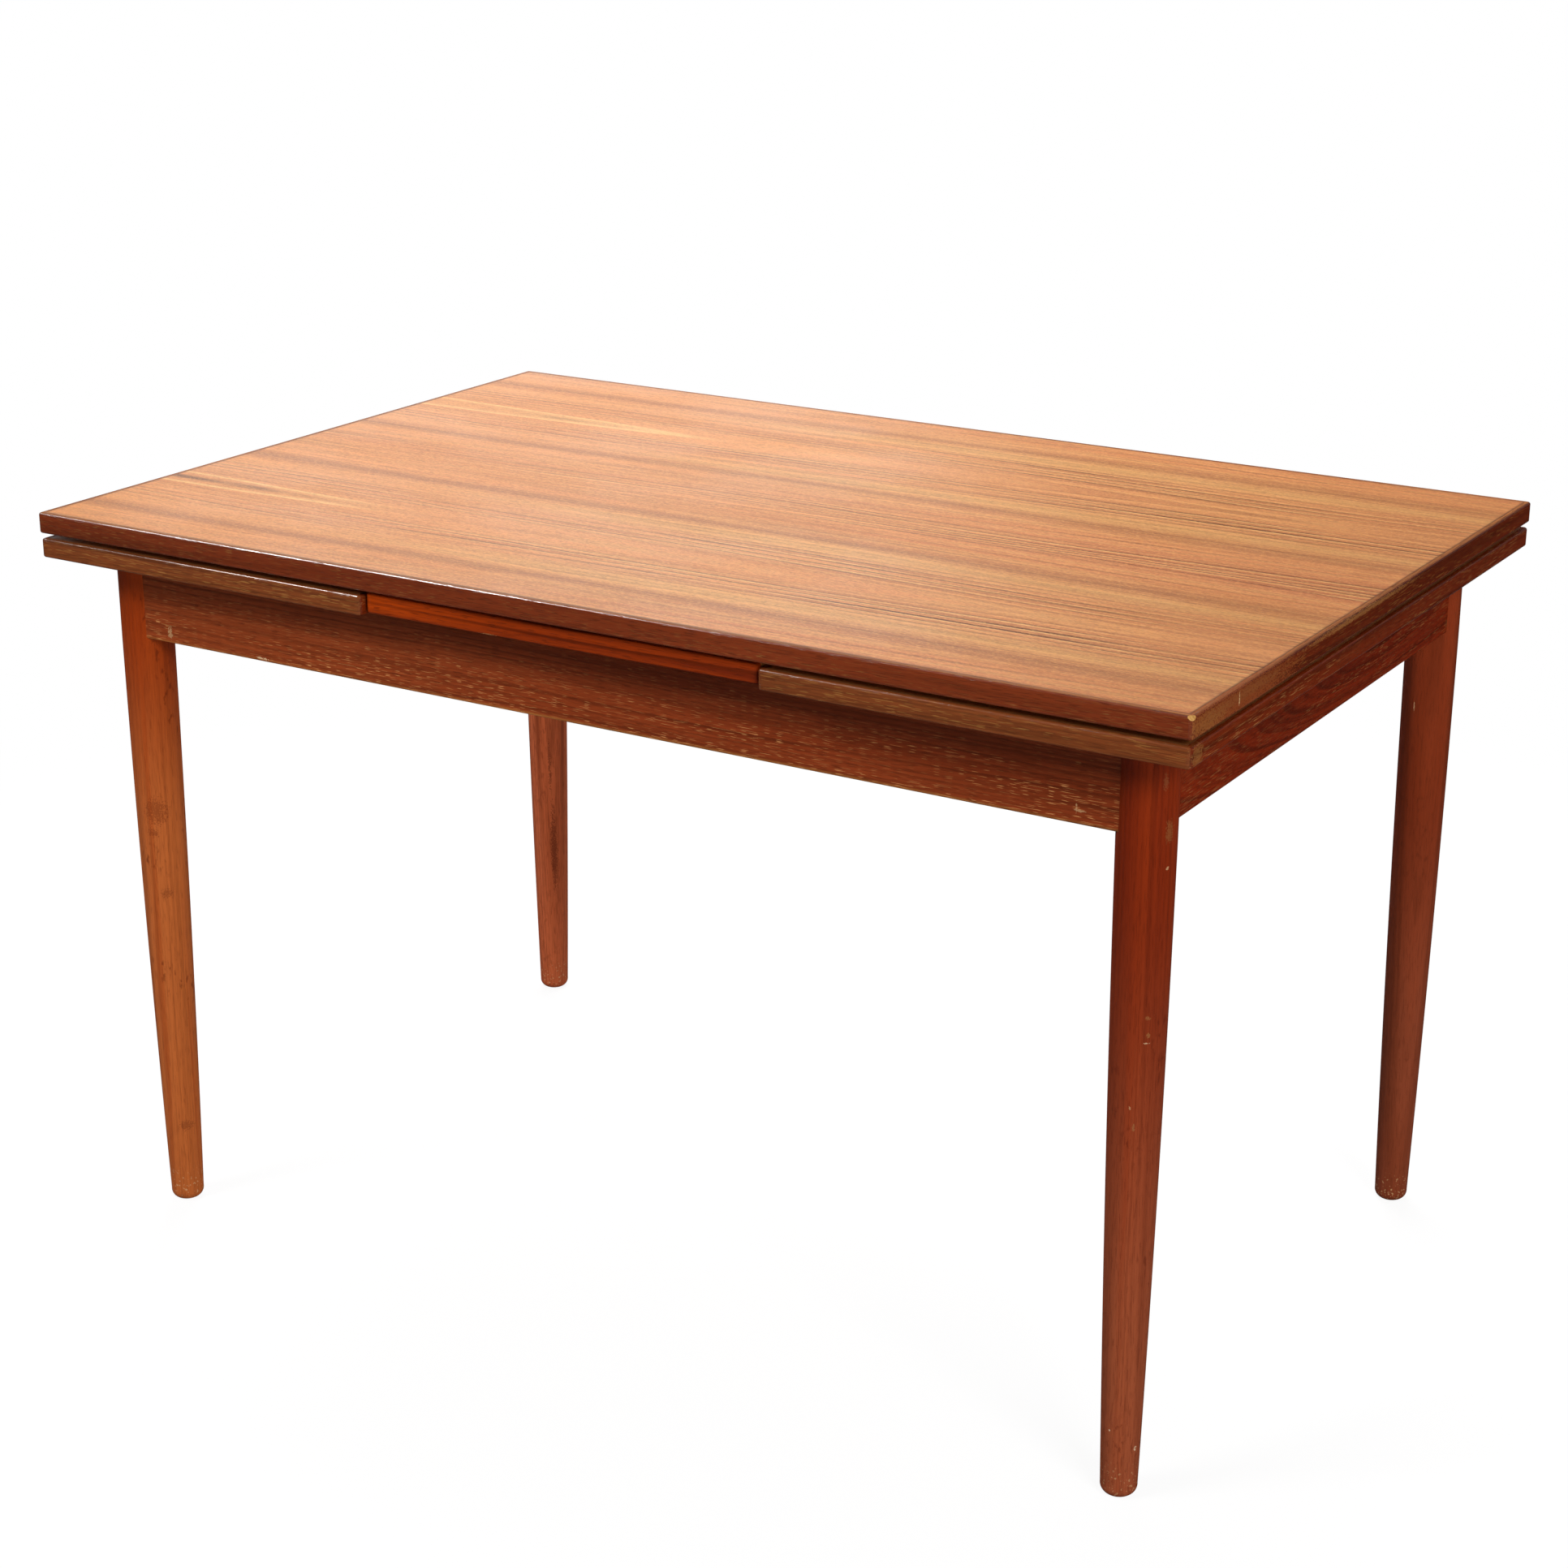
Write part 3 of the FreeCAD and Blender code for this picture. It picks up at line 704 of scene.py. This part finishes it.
edge_tones = ("88391a", "752f15", "4c1d0b")
leaf_edge_tones = ("8e4a23", "7b3d1c", "522810")
end_tones = ("822d0c", "6d2408", "441605")
pale_face = ((0.7396, 0.73998, "bf7a44", 0.85),)
pale_end_face = ((0.7394, 0.7399, "b87440", 0.85),)
long_edge = edge_pair("long_edge", "x", (0.52, 0.70), edge_tones, flecks=0.4, fleck_tone="a0703c", seed=1.3,
                      bands=pale_face)
left_edge = edge_pair("left_edge", "y", (0.5, 0.78), edge_tones, flecks=0.25, seed=5.1, bands=pale_face)
right_edge = edge_pair(
    "right_edge", "y", (0.7, 0.70), end_tones, flecks=0.35, fleck_tone="b07838", seed=8.4,
    bands=pale_end_face,
    marks=(((0.603, -0.32, 0.729), (0.02, 0.15, 0.02), "954a22", 0.75),
           ((0.603, -0.372, 0.729), (0.02, 0.045, 0.011), "9a6430", 0.5),
           ((0.603, -0.29, 0.733), (0.02, 0.1, 0.006), "865028", 0.5),
           ((0.603, -0.31, 0.731), (0.02, 0.0008, 0.008), "e6bd86", 0.9),
           ((0.603, -0.05, 0.737), (0.02, 0.16, 0.003), "a8703c", 0.6)))
leaf_long_edge = edge_pair("leaf_long_edge", "x", (0.5, 0.8), leaf_edge_tones, flecks=0.5,
                           fleck_tone="b98444", seed=3.3, rough=0.5)
leaf_end_edge = edge_pair("leaf_end_edge", "y", (0.75, 0.66), end_tones, flecks=0.4, seed=6.2,
                          marks=(((0.602, -0.385, 0.705), (0.02, 0.012, 0.012), "946030", 0.6),))
red_edge = solid("red_edge", "x", (0.41, 0.64), ("9a3508", "742205", "3c1003"), seed=2.2, sway=0.012,
                 spacing=90, streaked=0.8, rough=0.3,
                 fades=((0.0, -0.22, "c44806", 0.75), (0.06, 0.2, "6a2412", 0.4)),
                 marks=(((-0.072, -0.3925, 0.6988), (0.011, 0.02, 0.0016), "c98c58", 0.8),))
raw_wood = solid("raw_wood", "x", (-0.5, 0.6), ("d8a763", "c6914c", "9c6a32"), seed=1.9, rough=0.6)
print("wood for the edges, and raw wood for a broken corner")

# %% [markdown]
# ## Wood of the aprons and end rails
#
# The long aprons are full of golden flecks. Under the leaves their upper part is painted darker, which is
# painted shade, and the flecks are thinned out there. Their lower arrises are worn pale, with a few bruises.
# The end rails are redder, and each shows an eye of arches, because their boards were cut along the layers.

# %% Aprons and rails
apron_tones = ("9e441f", "883616", "55200b")
rail_tones = ("8a2a07", "762106", "401003")
apron_wood = solid(
    "apron_wood", "x", (0.3, 0.6), apron_tones, 0.8, "dc965a", 4.4, fleck_fade=(0.63, 0.68),
    # The second band is painted shade under the leaves, and fleck_fade thins the flecks in that shade.
    bands=((0.6185, 0.6155, "b9803f", 0.6), (0.635, 0.685, "4a1c0b", 0.45)),
    fades=((0.15, -0.35, "b4562a", 0.35), (0.15, 0.5, "6e2c14", 0.3)),
    marks=(((-0.4895, -0.348, 0.625), (0.004, 0.01, 0.008), "c09468", 0.75),
           ((-0.374, -0.348, 0.6175), (0.009, 0.01, 0.0014), "dcb48a", 0.9),
           ((0.486, -0.348, 0.6265), (0.007, 0.01, 0.0012), "c09468", 0.7),
           ((0.483, -0.348, 0.629), (0.001, 0.01, 0.006), "c09468", 0.7)))
left_rail_wood = solid("left_rail_wood", "y", (0.53, 0.65), rail_tones, 0.3, seed=5.7, sway=0.012,
                       eye=(-0.1, 0.13))
right_rail_wood = solid("right_rail_wood", "y", (0.541, 0.662), rail_tones, 0.3, seed=9.7, sway=0.012,
                        eye=(0.14, 0.13))
print("wood for two aprons and two end rails")

# %% [markdown]
# ## Wood of the legs
#
# Four legs come from four boards, so each has tones of its own. Most are paler towards the foot, partly
# wood faded by sun and partly painted shade under the top. The back left leg is painted lighter, partly its
# own paler wood and partly painted light, as it stands in the shade of the top. They are wiped less often
# than the top and knocked more, so they have smudges, chips at the foot, and single bruises, which are
# placed on the side that the camera sees.

# %% Wood of the legs
leg_woods = {
    "front_left": solid(
        "leg_front_left_wood", "z", (0.45, -0.26), ("a9410f", "95340b", "5e1f06"), seed=0.6,
        ringed=0.12, streaked=0.4, scratched=0.5, scuffed=0.6, chipped=0.7,
        # Painted shade in part: this band makes the leg darker under the top and paler towards the foot.
        bands=((0.64, 0.38, "d5763a", 0.75),),
        marks=(((-0.525, -0.347, 0.435), (0.013, 0.015, 0.017), "7a3416", 0.5),
               ((-0.529, -0.348, 0.412), (0.007, 0.012, 0.006), "7a3416", 0.5),
               ((-0.521, -0.344, 0.347), (0.006, 0.012, 0.006), "7e3c1c", 0.45),
               ((-0.523, -0.339, 0.088), (0.006, 0.012, 0.007), "7e3c1c", 0.5))),
    "front_right": solid(
        "leg_front_right_wood", "z", (0.62, -0.30), ("92310d", "7e2609", "541605"), seed=2.9,
        ringed=0.1, streaked=0.3, scratched=0.6, scuffed=0.45, chipped=0.5,
        # Painted shade in part: this band makes the leg darker under the top and paler towards the foot.
        bands=((0.6, 0.1, "b4623e", 0.65),),
        marks=(((0.553, -0.346, 0.4366), (0.0024, 0.01, 0.0007), "d9b48c", 0.8),
               ((0.5535, -0.346, 0.444), (0.0015, 0.01, 0.003), "a06a3c", 0.6),
               ((0.553, -0.3465, 0.459), (0.0024, 0.01, 0.002), "a06a3c", 0.5),
               ((0.546, -0.35, 0.36), (0.0016, 0.01, 0.004), "a06a40", 0.6),
               ((0.5425, -0.351, 0.3775), (0.0009, 0.01, 0.002), "c09068", 0.8),
               ((0.558, -0.343, 0.662), (0.0016, 0.01, 0.008), "8f5532", 0.5),
               ((0.5605, -0.336, 0.62), (0.002, 0.012, 0.012), "8f5a30", 0.5),
               ((0.5605, -0.338, 0.5885), (0.0014, 0.003, 0.0016), "c89c70", 0.8),
               ((0.5534, -0.3336, 0.0506), (0.0016, 0.0022, 0.0024), "ecd0aa", 0.9),
               ((0.5344, -0.3461, 0.0685), (0.0011, 0.003, 0.0011), "ecd0aa", 0.9))),
    "back_left": solid(
        # Painted light in part: these light tones offset the shade of the top on this leg.
        "leg_back_left_wood", "z", (0.50, 0.29), ("dc7044", "c86036", "86391b"), seed=4.1, sway=0.014,
        ringed=0.3, streaked=0.9, scuffed=0.4, chipped=0.7,
        marks=(((-0.5225, 0.3155, 0.185), (0.0034, 0.012, 0.06), "5e2410", 0.6),
               ((-0.5235, 0.3145, 0.29), (0.0018, 0.012, 0.04), "6a2c14", 0.5))),
    "back_right": solid(
        "leg_back_right_wood", "z", (0.49, 0.40), ("9a3f1e", "863316", "5a230d"), seed=6.6,
        ringed=0.1, streaked=0.35, scratched=0.6, scuffed=0.4, chipped=0.6,
        # Painted shade in part: this band makes the leg darker under the top and paler towards the foot.
        bands=((0.5, 0.15, "9c5438", 0.5),),
        marks=(((0.5325, 0.304, 0.545), (0.0007, 0.01, 0.006), "d8ab80", 0.9),)),
}
print("wood for", len(leg_woods), "legs")

# %% [markdown]
# ## Beech, steel and felt
#
# What hardly shows is made of beech: runners, bearers, blocks, pegs. It was planed and left bare, so it is
# pale and matt, with short dark flecks in place of golden ones. The recipe for solid wood gives it too. The
# screws are dulled steel and the pads are felt, both simple mixtures of coarse and fine noise.

# %% Beech, steel and felt
steel_scratch = 0.00004
felt_pile = 0.0006


def beech(along, heart, tones, seed):
    return solid("beech_along_" + along, along, heart, tones, 0.5, "8f623a", seed, rough=0.58)


def steel(name):
    f = Finish(name)
    scratch = f.speckle(900, 0.4, 3.0)
    bloom = f.speckle(260, 5.4, 3.0)
    f.colour = f.blend(f.rise(bloom, 0.4, 0.7), paint("b9b6ae"), paint("7c766c"))
    f.shader.inputs["Metallic"].default_value = 1.0
    return f.done(f.rise(bloom, 0.3, 0.7, 0.32, 0.55), scratch, steel_scratch)


def felt(name):
    f = Finish(name)
    hair = f.speckle(1500, 0.2, 4.0)
    tuft = f.speckle(300, 2.2, 3.0)
    f.colour = f.blend(f.rise(hair, 0.3, 0.7), paint("24402c"), paint("4f7355"))
    f.lay(f.rise(tuft, 0.4, 0.7, 0.0, 0.5), paint("2c4a35"))
    f.shader.inputs["Sheen Weight"].default_value = 0.4
    return f.done(f.rise(tuft, 0.3, 0.7, 0.88, 0.98), hair, felt_pile)


beech_along_x = beech("x", (0.1, 0.4), ("d3ab7c", "c69b6b", "a97c4d"), 1.1)
beech_along_y = beech("y", (0.1, 0.4), ("d0a878", "c39867", "a67949"), 2.6)
beech_along_z = beech("z", (0.2, 0.1), ("d3ab7c", "c59a69", "a97c4d"), 3.7)
screw_steel = steel("screw_steel")
green_felt = felt("green_felt")
print("beech three ways, steel and felt")

# %% [markdown]
# ## From a worked mesh to a piece on the table
#
# Each piece is worked on its own as a bmesh, then handed over here: flat faces stay flat, rounds are
# smoothed, the piece is tied to the moving body that carries it, and the timber that it stands for is
# hidden.

# %% Handing over a piece
crease = 32.0
doubles_within = 1e-6


def hand_over(name, work, body, finishes, nodes):
    """Makes a piece of a worked mesh, on a moving body, in place of the timbers that it stands for."""
    bmesh.ops.remove_doubles(work, verts=work.verts[:], dist=doubles_within)
    bmesh.ops.recalc_face_normals(work, faces=work.faces[:])
    mesh = bpy.data.meshes.new(name)
    work.to_mesh(mesh)
    work.free()
    mesh.shade_smooth()
    mesh.set_sharp_from_angle(angle=math.radians(crease))
    for finish in finishes:
        mesh.materials.append(finish)
    piece = bpy.data.objects.new(name, mesh)
    scene.collection.objects.link(piece)
    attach(piece, body)
    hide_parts(*nodes)


def slice_off(work, point, normal, material=0):
    """Cuts away all on the side that the normal points to, and closes the cut with a flat face."""
    everything = work.verts[:] + work.edges[:] + work.faces[:]
    cut = bmesh.ops.bisect_plane(work, geom=everything, plane_co=point, plane_no=normal, clear_outer=True)
    rim = [g for g in cut["geom_cut"] if isinstance(g, bmesh.types.BMEdge)]
    closed = bmesh.ops.edgeloop_fill(work, edges=rim)
    for face in closed["faces"]:
        face.material_index = material
    return closed["faces"]


def block(low, high):
    work = bmesh.new()
    bmesh.ops.create_cube(work, size=1.0)
    bmesh.ops.scale(work, vec=high - low, verts=work.verts[:])
    bmesh.ops.translate(work, vec=(low + high) / 2, verts=work.verts[:])
    return work


def round_edges(work, edges, radius, segments, material=-1):
    bmesh.ops.bevel(work, geom=edges, offset=radius, offset_type="OFFSET", segments=segments, profile=0.5,
                    affect="EDGES", material=material, clamp_overlap=True)


print("tools for handing over ready")

# %% [markdown]
# ## Lipped panels: the slab and its strips
#
# A veneered panel is edged with strips of solid wood, mitred at the corners and rounded over once the glue
# has set. Each strip could be modelled alone, but its rounds would have to meet the next one's at the
# mitre. So the whole slab is rounded first and then sawn into its strips, as rounding after glueing does.
# A hairline is left where strip meets veneer, because glue lines sink a little with the years.

# %% Slab, strips and panel
corner_round, corner_steps = 0.004, 8
arris_round, arris_steps = 0.0022, 6
glue_line = 0.0002
grime_core, grime_reach = 0.0008, 0.004
level_within = 1e-7
raw_finish = 1
arris_finish = 2


def drop(edge):
    """Difference in height between the two ends of an edge."""
    return abs(edge.verts[0].co.z - edge.verts[1].co.z)


def rounded_slab(low, high):
    work = block(low, high)
    tall = (high.z - low.z) / 2
    uprights = [e for e in work.edges if drop(e) > tall]
    round_edges(work, uprights, corner_round, corner_steps, arris_finish)
    rims = [e for e in work.edges if drop(e) < tall]
    round_edges(work, rims, arris_round, arris_steps, arris_finish)
    return work


def lipping(slab, low, high, facing):
    """Strip of the slab outside the panel's box on one side, mitred at both ends."""
    work = slab.copy()
    out = Vector(facing)
    run = Vector((-out.y, out.x, 0))
    middle = (low + high) / 2
    half = (high - low) / 2
    reach = abs(half.dot(out))
    span = abs(half.dot(run))
    cuts = slice_off(work, middle + out * reach, -out)
    for end in (run, -run):
        cuts += slice_off(work, middle + out * reach + end * span, end - out)
    rims = {edge for face in cuts if face.is_valid for edge in face.edges}
    round_edges(work, [e for e in rims if drop(e) < level_within], glue_line, 1)
    return work


def panel(low, high):
    """Veneered board, with a band round its flat faces in which grime gathers along the glue line."""
    work = block(low, high)
    round_edges(work, [e for e in work.edges if drop(e) < level_within], glue_line, 1)
    layer = work.verts.layers.float.new("grime")
    for vert in work.verts:
        vert[layer] = 1.0
    faces = [f for f in work.faces if abs(f.normal.z) > 0.99]
    for width, grime in ((grime_core, 1.0), (grime_reach, 0.0)):
        bmesh.ops.inset_individual(work, faces=faces, thickness=width)
        for face in faces:
            for vert in face.verts:
                vert[layer] = grime
    return work


print("slabs with rounds of", arris_round, "m")

# %% [markdown]
# ## The top and the two leaves
#
# The same steps make all three: a veneered panel and four strips. The top's front right corner has lost a
# chip, which shows raw wood. It is sawn off the slab before the strips are, so that both strips share it.

# %% Top and leaves
chip_point = Vector((0.6002, -0.3957, 0.7392))
chip_facing = Vector((1.0, -1.0, 1.1))
sides = {"front": (0, -1, 0), "back": (0, 1, 0), "left": (-1, 0, 0), "right": (1, 0, 0)}
top_edges = {"front": long_edge, "back": long_edge, "left": left_edge, "right": right_edge}
leaf_edges = {"front": leaf_long_edge, "back": leaf_long_edge, "left": leaf_end_edge, "right": leaf_end_edge}


def outer_box(nodes):
    """Box round several timbers."""
    lows, highs = zip(*(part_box(n) for n in nodes))
    return Vector(map(min, *lows)), Vector(map(max, *highs))


def lipped(prefix, body, sheet, edges, chipped=False):
    """A panel in its sheet of veneer, and its four strips, each with a finish for the face and the arris."""
    strips = {side: prefix + "_lipping_" + side for side in sides}
    slab = rounded_slab(*outer_box(strips.values()))
    if chipped:
        slice_off(slab, chip_point, chip_facing, raw_finish)
    low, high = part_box(prefix + "_panel")
    hand_over(prefix + "_veneered", panel(low, high), body, [sheet], [prefix + "_panel"])
    for side, facing in sides.items():
        strip = lipping(slab, low, high, facing)
        face, arris = edges[side]
        finishes = [face, raw_wood, arris]
        hand_over(prefix + "_edge_" + side, strip, body, finishes, [strips[side]])
    slab.free()
    print(prefix, "slab", tuple(round(v, 4) for v in high - low), "with four mitred edges")


lipped("top", "loose_top", top_veneer, top_edges, chipped=True)
lipped("left_leaf", "left_leaf", leaf_veneer, leaf_edges)
lipped("right_leaf", "right_leaf", leaf_veneer, leaf_edges)

# %% [markdown]
# ## The fixed board
#
# Between the leaves a narrow board is screwed to the frame. It keeps the top up, and the pegs of the top
# run in two holes in it. Only its front edge shows, in a redder wood than the rest. The edges are sawn
# from a rounded slab as before. The board itself has holes, so it is copied from its timber.

# %% Fixed board
welded_within = 1e-5
flat_within = 0.5
sharp_from = 40.0
shortest_arris = 0.012
ease_steps = 2


def eased_copy(node, ease):
    """The timber's own mesh, joined up, with its arrises taken off as a few strokes of a plane would."""
    work = bmesh.new()
    work.from_mesh(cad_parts[node].data)
    bmesh.ops.remove_doubles(work, verts=work.verts[:], dist=welded_within)
    bmesh.ops.dissolve_limit(work, angle_limit=math.radians(flat_within), verts=work.verts[:],
                             edges=work.edges[:])
    if ease:
        shared = [e for e in work.edges if len(e.link_faces) == 2 and e.is_convex]
        arrises = [e for e in shared if e.calc_face_angle() > math.radians(sharp_from)
                   and e.calc_length() > shortest_arris]
        round_edges(work, arrises, ease, ease_steps)
    return work


board_low, board_high = outer_box(["fixed_board", "fixed_board_lipping_front", "fixed_board_lipping_back"])
core_low, core_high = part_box("fixed_board")
for side, seam in (("front", core_low), ("back", core_high)):
    node = "fixed_board_lipping_" + side
    strip = rounded_slab(board_low, board_high)
    cut = slice_off(strip, seam, -Vector(sides[side]))
    rims = {edge for face in cut for edge in face.edges}
    round_edges(strip, [e for e in rims if e.calc_length() > corner_round], glue_line, 1)
    hand_over("board_edge_" + side, strip, "frame", [red_edge] * 3, [node])
board = eased_copy("fixed_board", 0)
hand_over("board_veneered", board, "frame", [leaf_veneer], ["fixed_board"])
print("fixed board with two red edges")

# %% [markdown]
# ## Turned legs
#
# A leg is turned on a lathe: straight where the aprons meet it, then a slow swelling taper down to a
# rounded foot. A tapered cylinder would miss the swell. So the outline is drawn as two arcs and a
# straight, and spin carries it round the leg's own axis, as the lathe does.

# %% Legs
head_radius = 0.0252
middle_radius = 0.0223
foot_radius = 0.0164
foot_flat = 0.0085
foot_round, foot_steps = 0.010, 10
straight_from, taper_steps = 0.6085, 40
leg_steps = 96


def arc_on(work, start, through, end, steps):
    """Carries a point along the arc through two others, in short edges, and returns its last point."""
    a, b, c = start.co.xz, through, end
    turn = 2 * (a.x * (b.y - c.y) + b.x * (c.y - a.y) + c.x * (a.y - b.y))
    squares = [p.length_squared for p in (a, b, c)]
    centre_x = (squares[0] * (b.y - c.y) + squares[1] * (c.y - a.y) + squares[2] * (a.y - b.y)) / turn
    centre_z = (squares[0] * (c.x - b.x) + squares[1] * (a.x - c.x) + squares[2] * (b.x - a.x)) / turn
    centre = Vector((centre_x, centre_z))
    sweep = (a - centre).angle_signed(c - centre)
    made = bmesh.ops.spin(work, geom=[start], cent=(centre.x, 0, centre.y), axis=(0, 1, 0), angle=sweep,
                          steps=steps)
    return next(g for g in made["geom_last"] if isinstance(g, bmesh.types.BMVert))


def turned_leg(height):
    """Leg about the Z axis."""
    work = bmesh.new()
    start = work.verts.new((foot_flat, 0, 0))
    diagonal = math.sqrt(0.5)
    bulge = Vector((foot_flat + (foot_radius - foot_flat) * diagonal, foot_round * (1 - diagonal)))
    ankle = arc_on(work, start, bulge, Vector((foot_radius, foot_round)), foot_steps)
    waist = Vector((middle_radius, (foot_round + straight_from) / 2))
    knee = arc_on(work, ankle, waist, Vector((head_radius, straight_from)), taper_steps)
    head = work.verts.new((head_radius, 0, height))
    work.edges.new((knee, head))
    work.edges.new((work.verts.new((0, 0, 0)), start))
    work.edges.new((head, work.verts.new((0, 0, height))))
    bmesh.ops.spin(work, geom=work.verts[:] + work.edges[:], cent=(0, 0, 0), axis=(0, 0, 1), angle=math.tau,
                   steps=leg_steps, use_merge=True)
    return work


for corner, finish in leg_woods.items():
    node = "leg_" + corner
    low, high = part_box(node)
    axis = (low + high) / 2
    leg = turned_leg(high.z)
    bmesh.ops.translate(leg, vec=(axis.x, axis.y, 0), verts=leg.verts[:])
    hand_over("turned_" + node, leg, "frame", [finish], [node])
print("four legs of", leg_steps, "steps round")

# %% [markdown]
# ## Aprons and end rails
#
# The aprons are planed boards with a slight round along their lower arrises. Their shoulders are scribed
# to the round legs and their tenons go into them, so each is a copy that keeps the exact shape of its
# timber.

# %% Aprons
for node, finish in (("front_apron", apron_wood), ("back_apron", apron_wood),
                     ("left_end_rail", left_rail_wood), ("right_end_rail", right_rail_wood)):
    hand_over("planed_" + node, eased_copy(node, 0), "frame", [finish], [node])
print("two aprons and two end rails")

# %% [markdown]
# ## Runners and the rest of the carcass
#
# The sloping runners carry the leaves. They slide in notches in the end rails and in slots in the cross
# rail, and a dowel in each tail stops them. All are planed beech with the sharp arrises just taken off, so
# each is a copy of its timber with its longer edges eased.

# %% Hidden timbers
timber_ease = 0.0005
beech_timbers = []
for side in ("left", "right"):
    for end in ("front", "back"):
        beech_timbers.append((side + "_runner_" + end, side + "_leaf", beech_along_x))
beech_timbers.append(("cross_rail", "frame", beech_along_y))
for corner in leg_woods:
    beech_timbers.append(("bearer_" + corner, "frame", beech_along_x))
    beech_timbers.append(("corner_block_" + corner, "frame", beech_along_z))
for side in ("left", "right"):
    beech_timbers.append(("guide_peg_" + side, "loose_top", beech_along_z))
    beech_timbers.append((side + "_leaf_stop_dowels", side + "_leaf", beech_along_z))
for node, body, finish in beech_timbers:
    hand_over("planed_" + node, eased_copy(node, timber_ease), body, [finish], [node])
print(len(beech_timbers), "beech timbers")

# %% [markdown]
# ## Screws and felt
#
# The screws are old slotted ones with countersunk heads. A slot could be cut with a boolean, but two cuts
# across each flat head and a strip pushed in between them are cleaner. The felt pads lie on the fixed
# board, under the loose top, and are plain copies.

# %% Screws and felt
slot_half = 0.0006
slot_depth = 0.0011
head_area = 4.5e-5
head_corners = 12
screw_groups = {"bearer_screws": "frame", "fixed_board_screws": "frame", "corner_block_screws": "frame",
                "left_leaf_runner_screws": "left_leaf", "right_leaf_runner_screws": "right_leaf"}


def saw_slot(work, face):
    """Slot across a screw's flat head."""
    middle = face.calc_center_median()
    facing = face.normal.copy()
    across = facing.orthogonal().normalized()
    part = [face]
    for way in (across, -across):
        geom = part + list({e for f in part for e in f.edges}) + list({v for f in part for v in f.verts})
        cut = bmesh.ops.bisect_plane(work, geom=geom, plane_co=middle + way * slot_half, plane_no=way)
        part = [g for g in cut["geom"] if isinstance(g, bmesh.types.BMFace)]
    strip = min(part, key=lambda f: (f.calc_center_median() - middle).length)
    sunk = bmesh.ops.extrude_discrete_faces(work, faces=[strip])["faces"]
    bmesh.ops.translate(work, vec=facing * -slot_depth, verts=list({v for f in sunk for v in f.verts}))


for node, body in screw_groups.items():
    work = eased_copy(node, 0)
    heads = [f for f in work.faces if f.calc_area() > head_area and len(f.verts) > head_corners]
    for face in heads:
        saw_slot(work, face)
    hand_over("slotted_" + node, work, body, [screw_steel], [node])
    print(node, len(heads), "heads")
hand_over("felt_pads_soft", eased_copy("felt_pads", 0), "frame", [green_felt], ["felt_pads"])
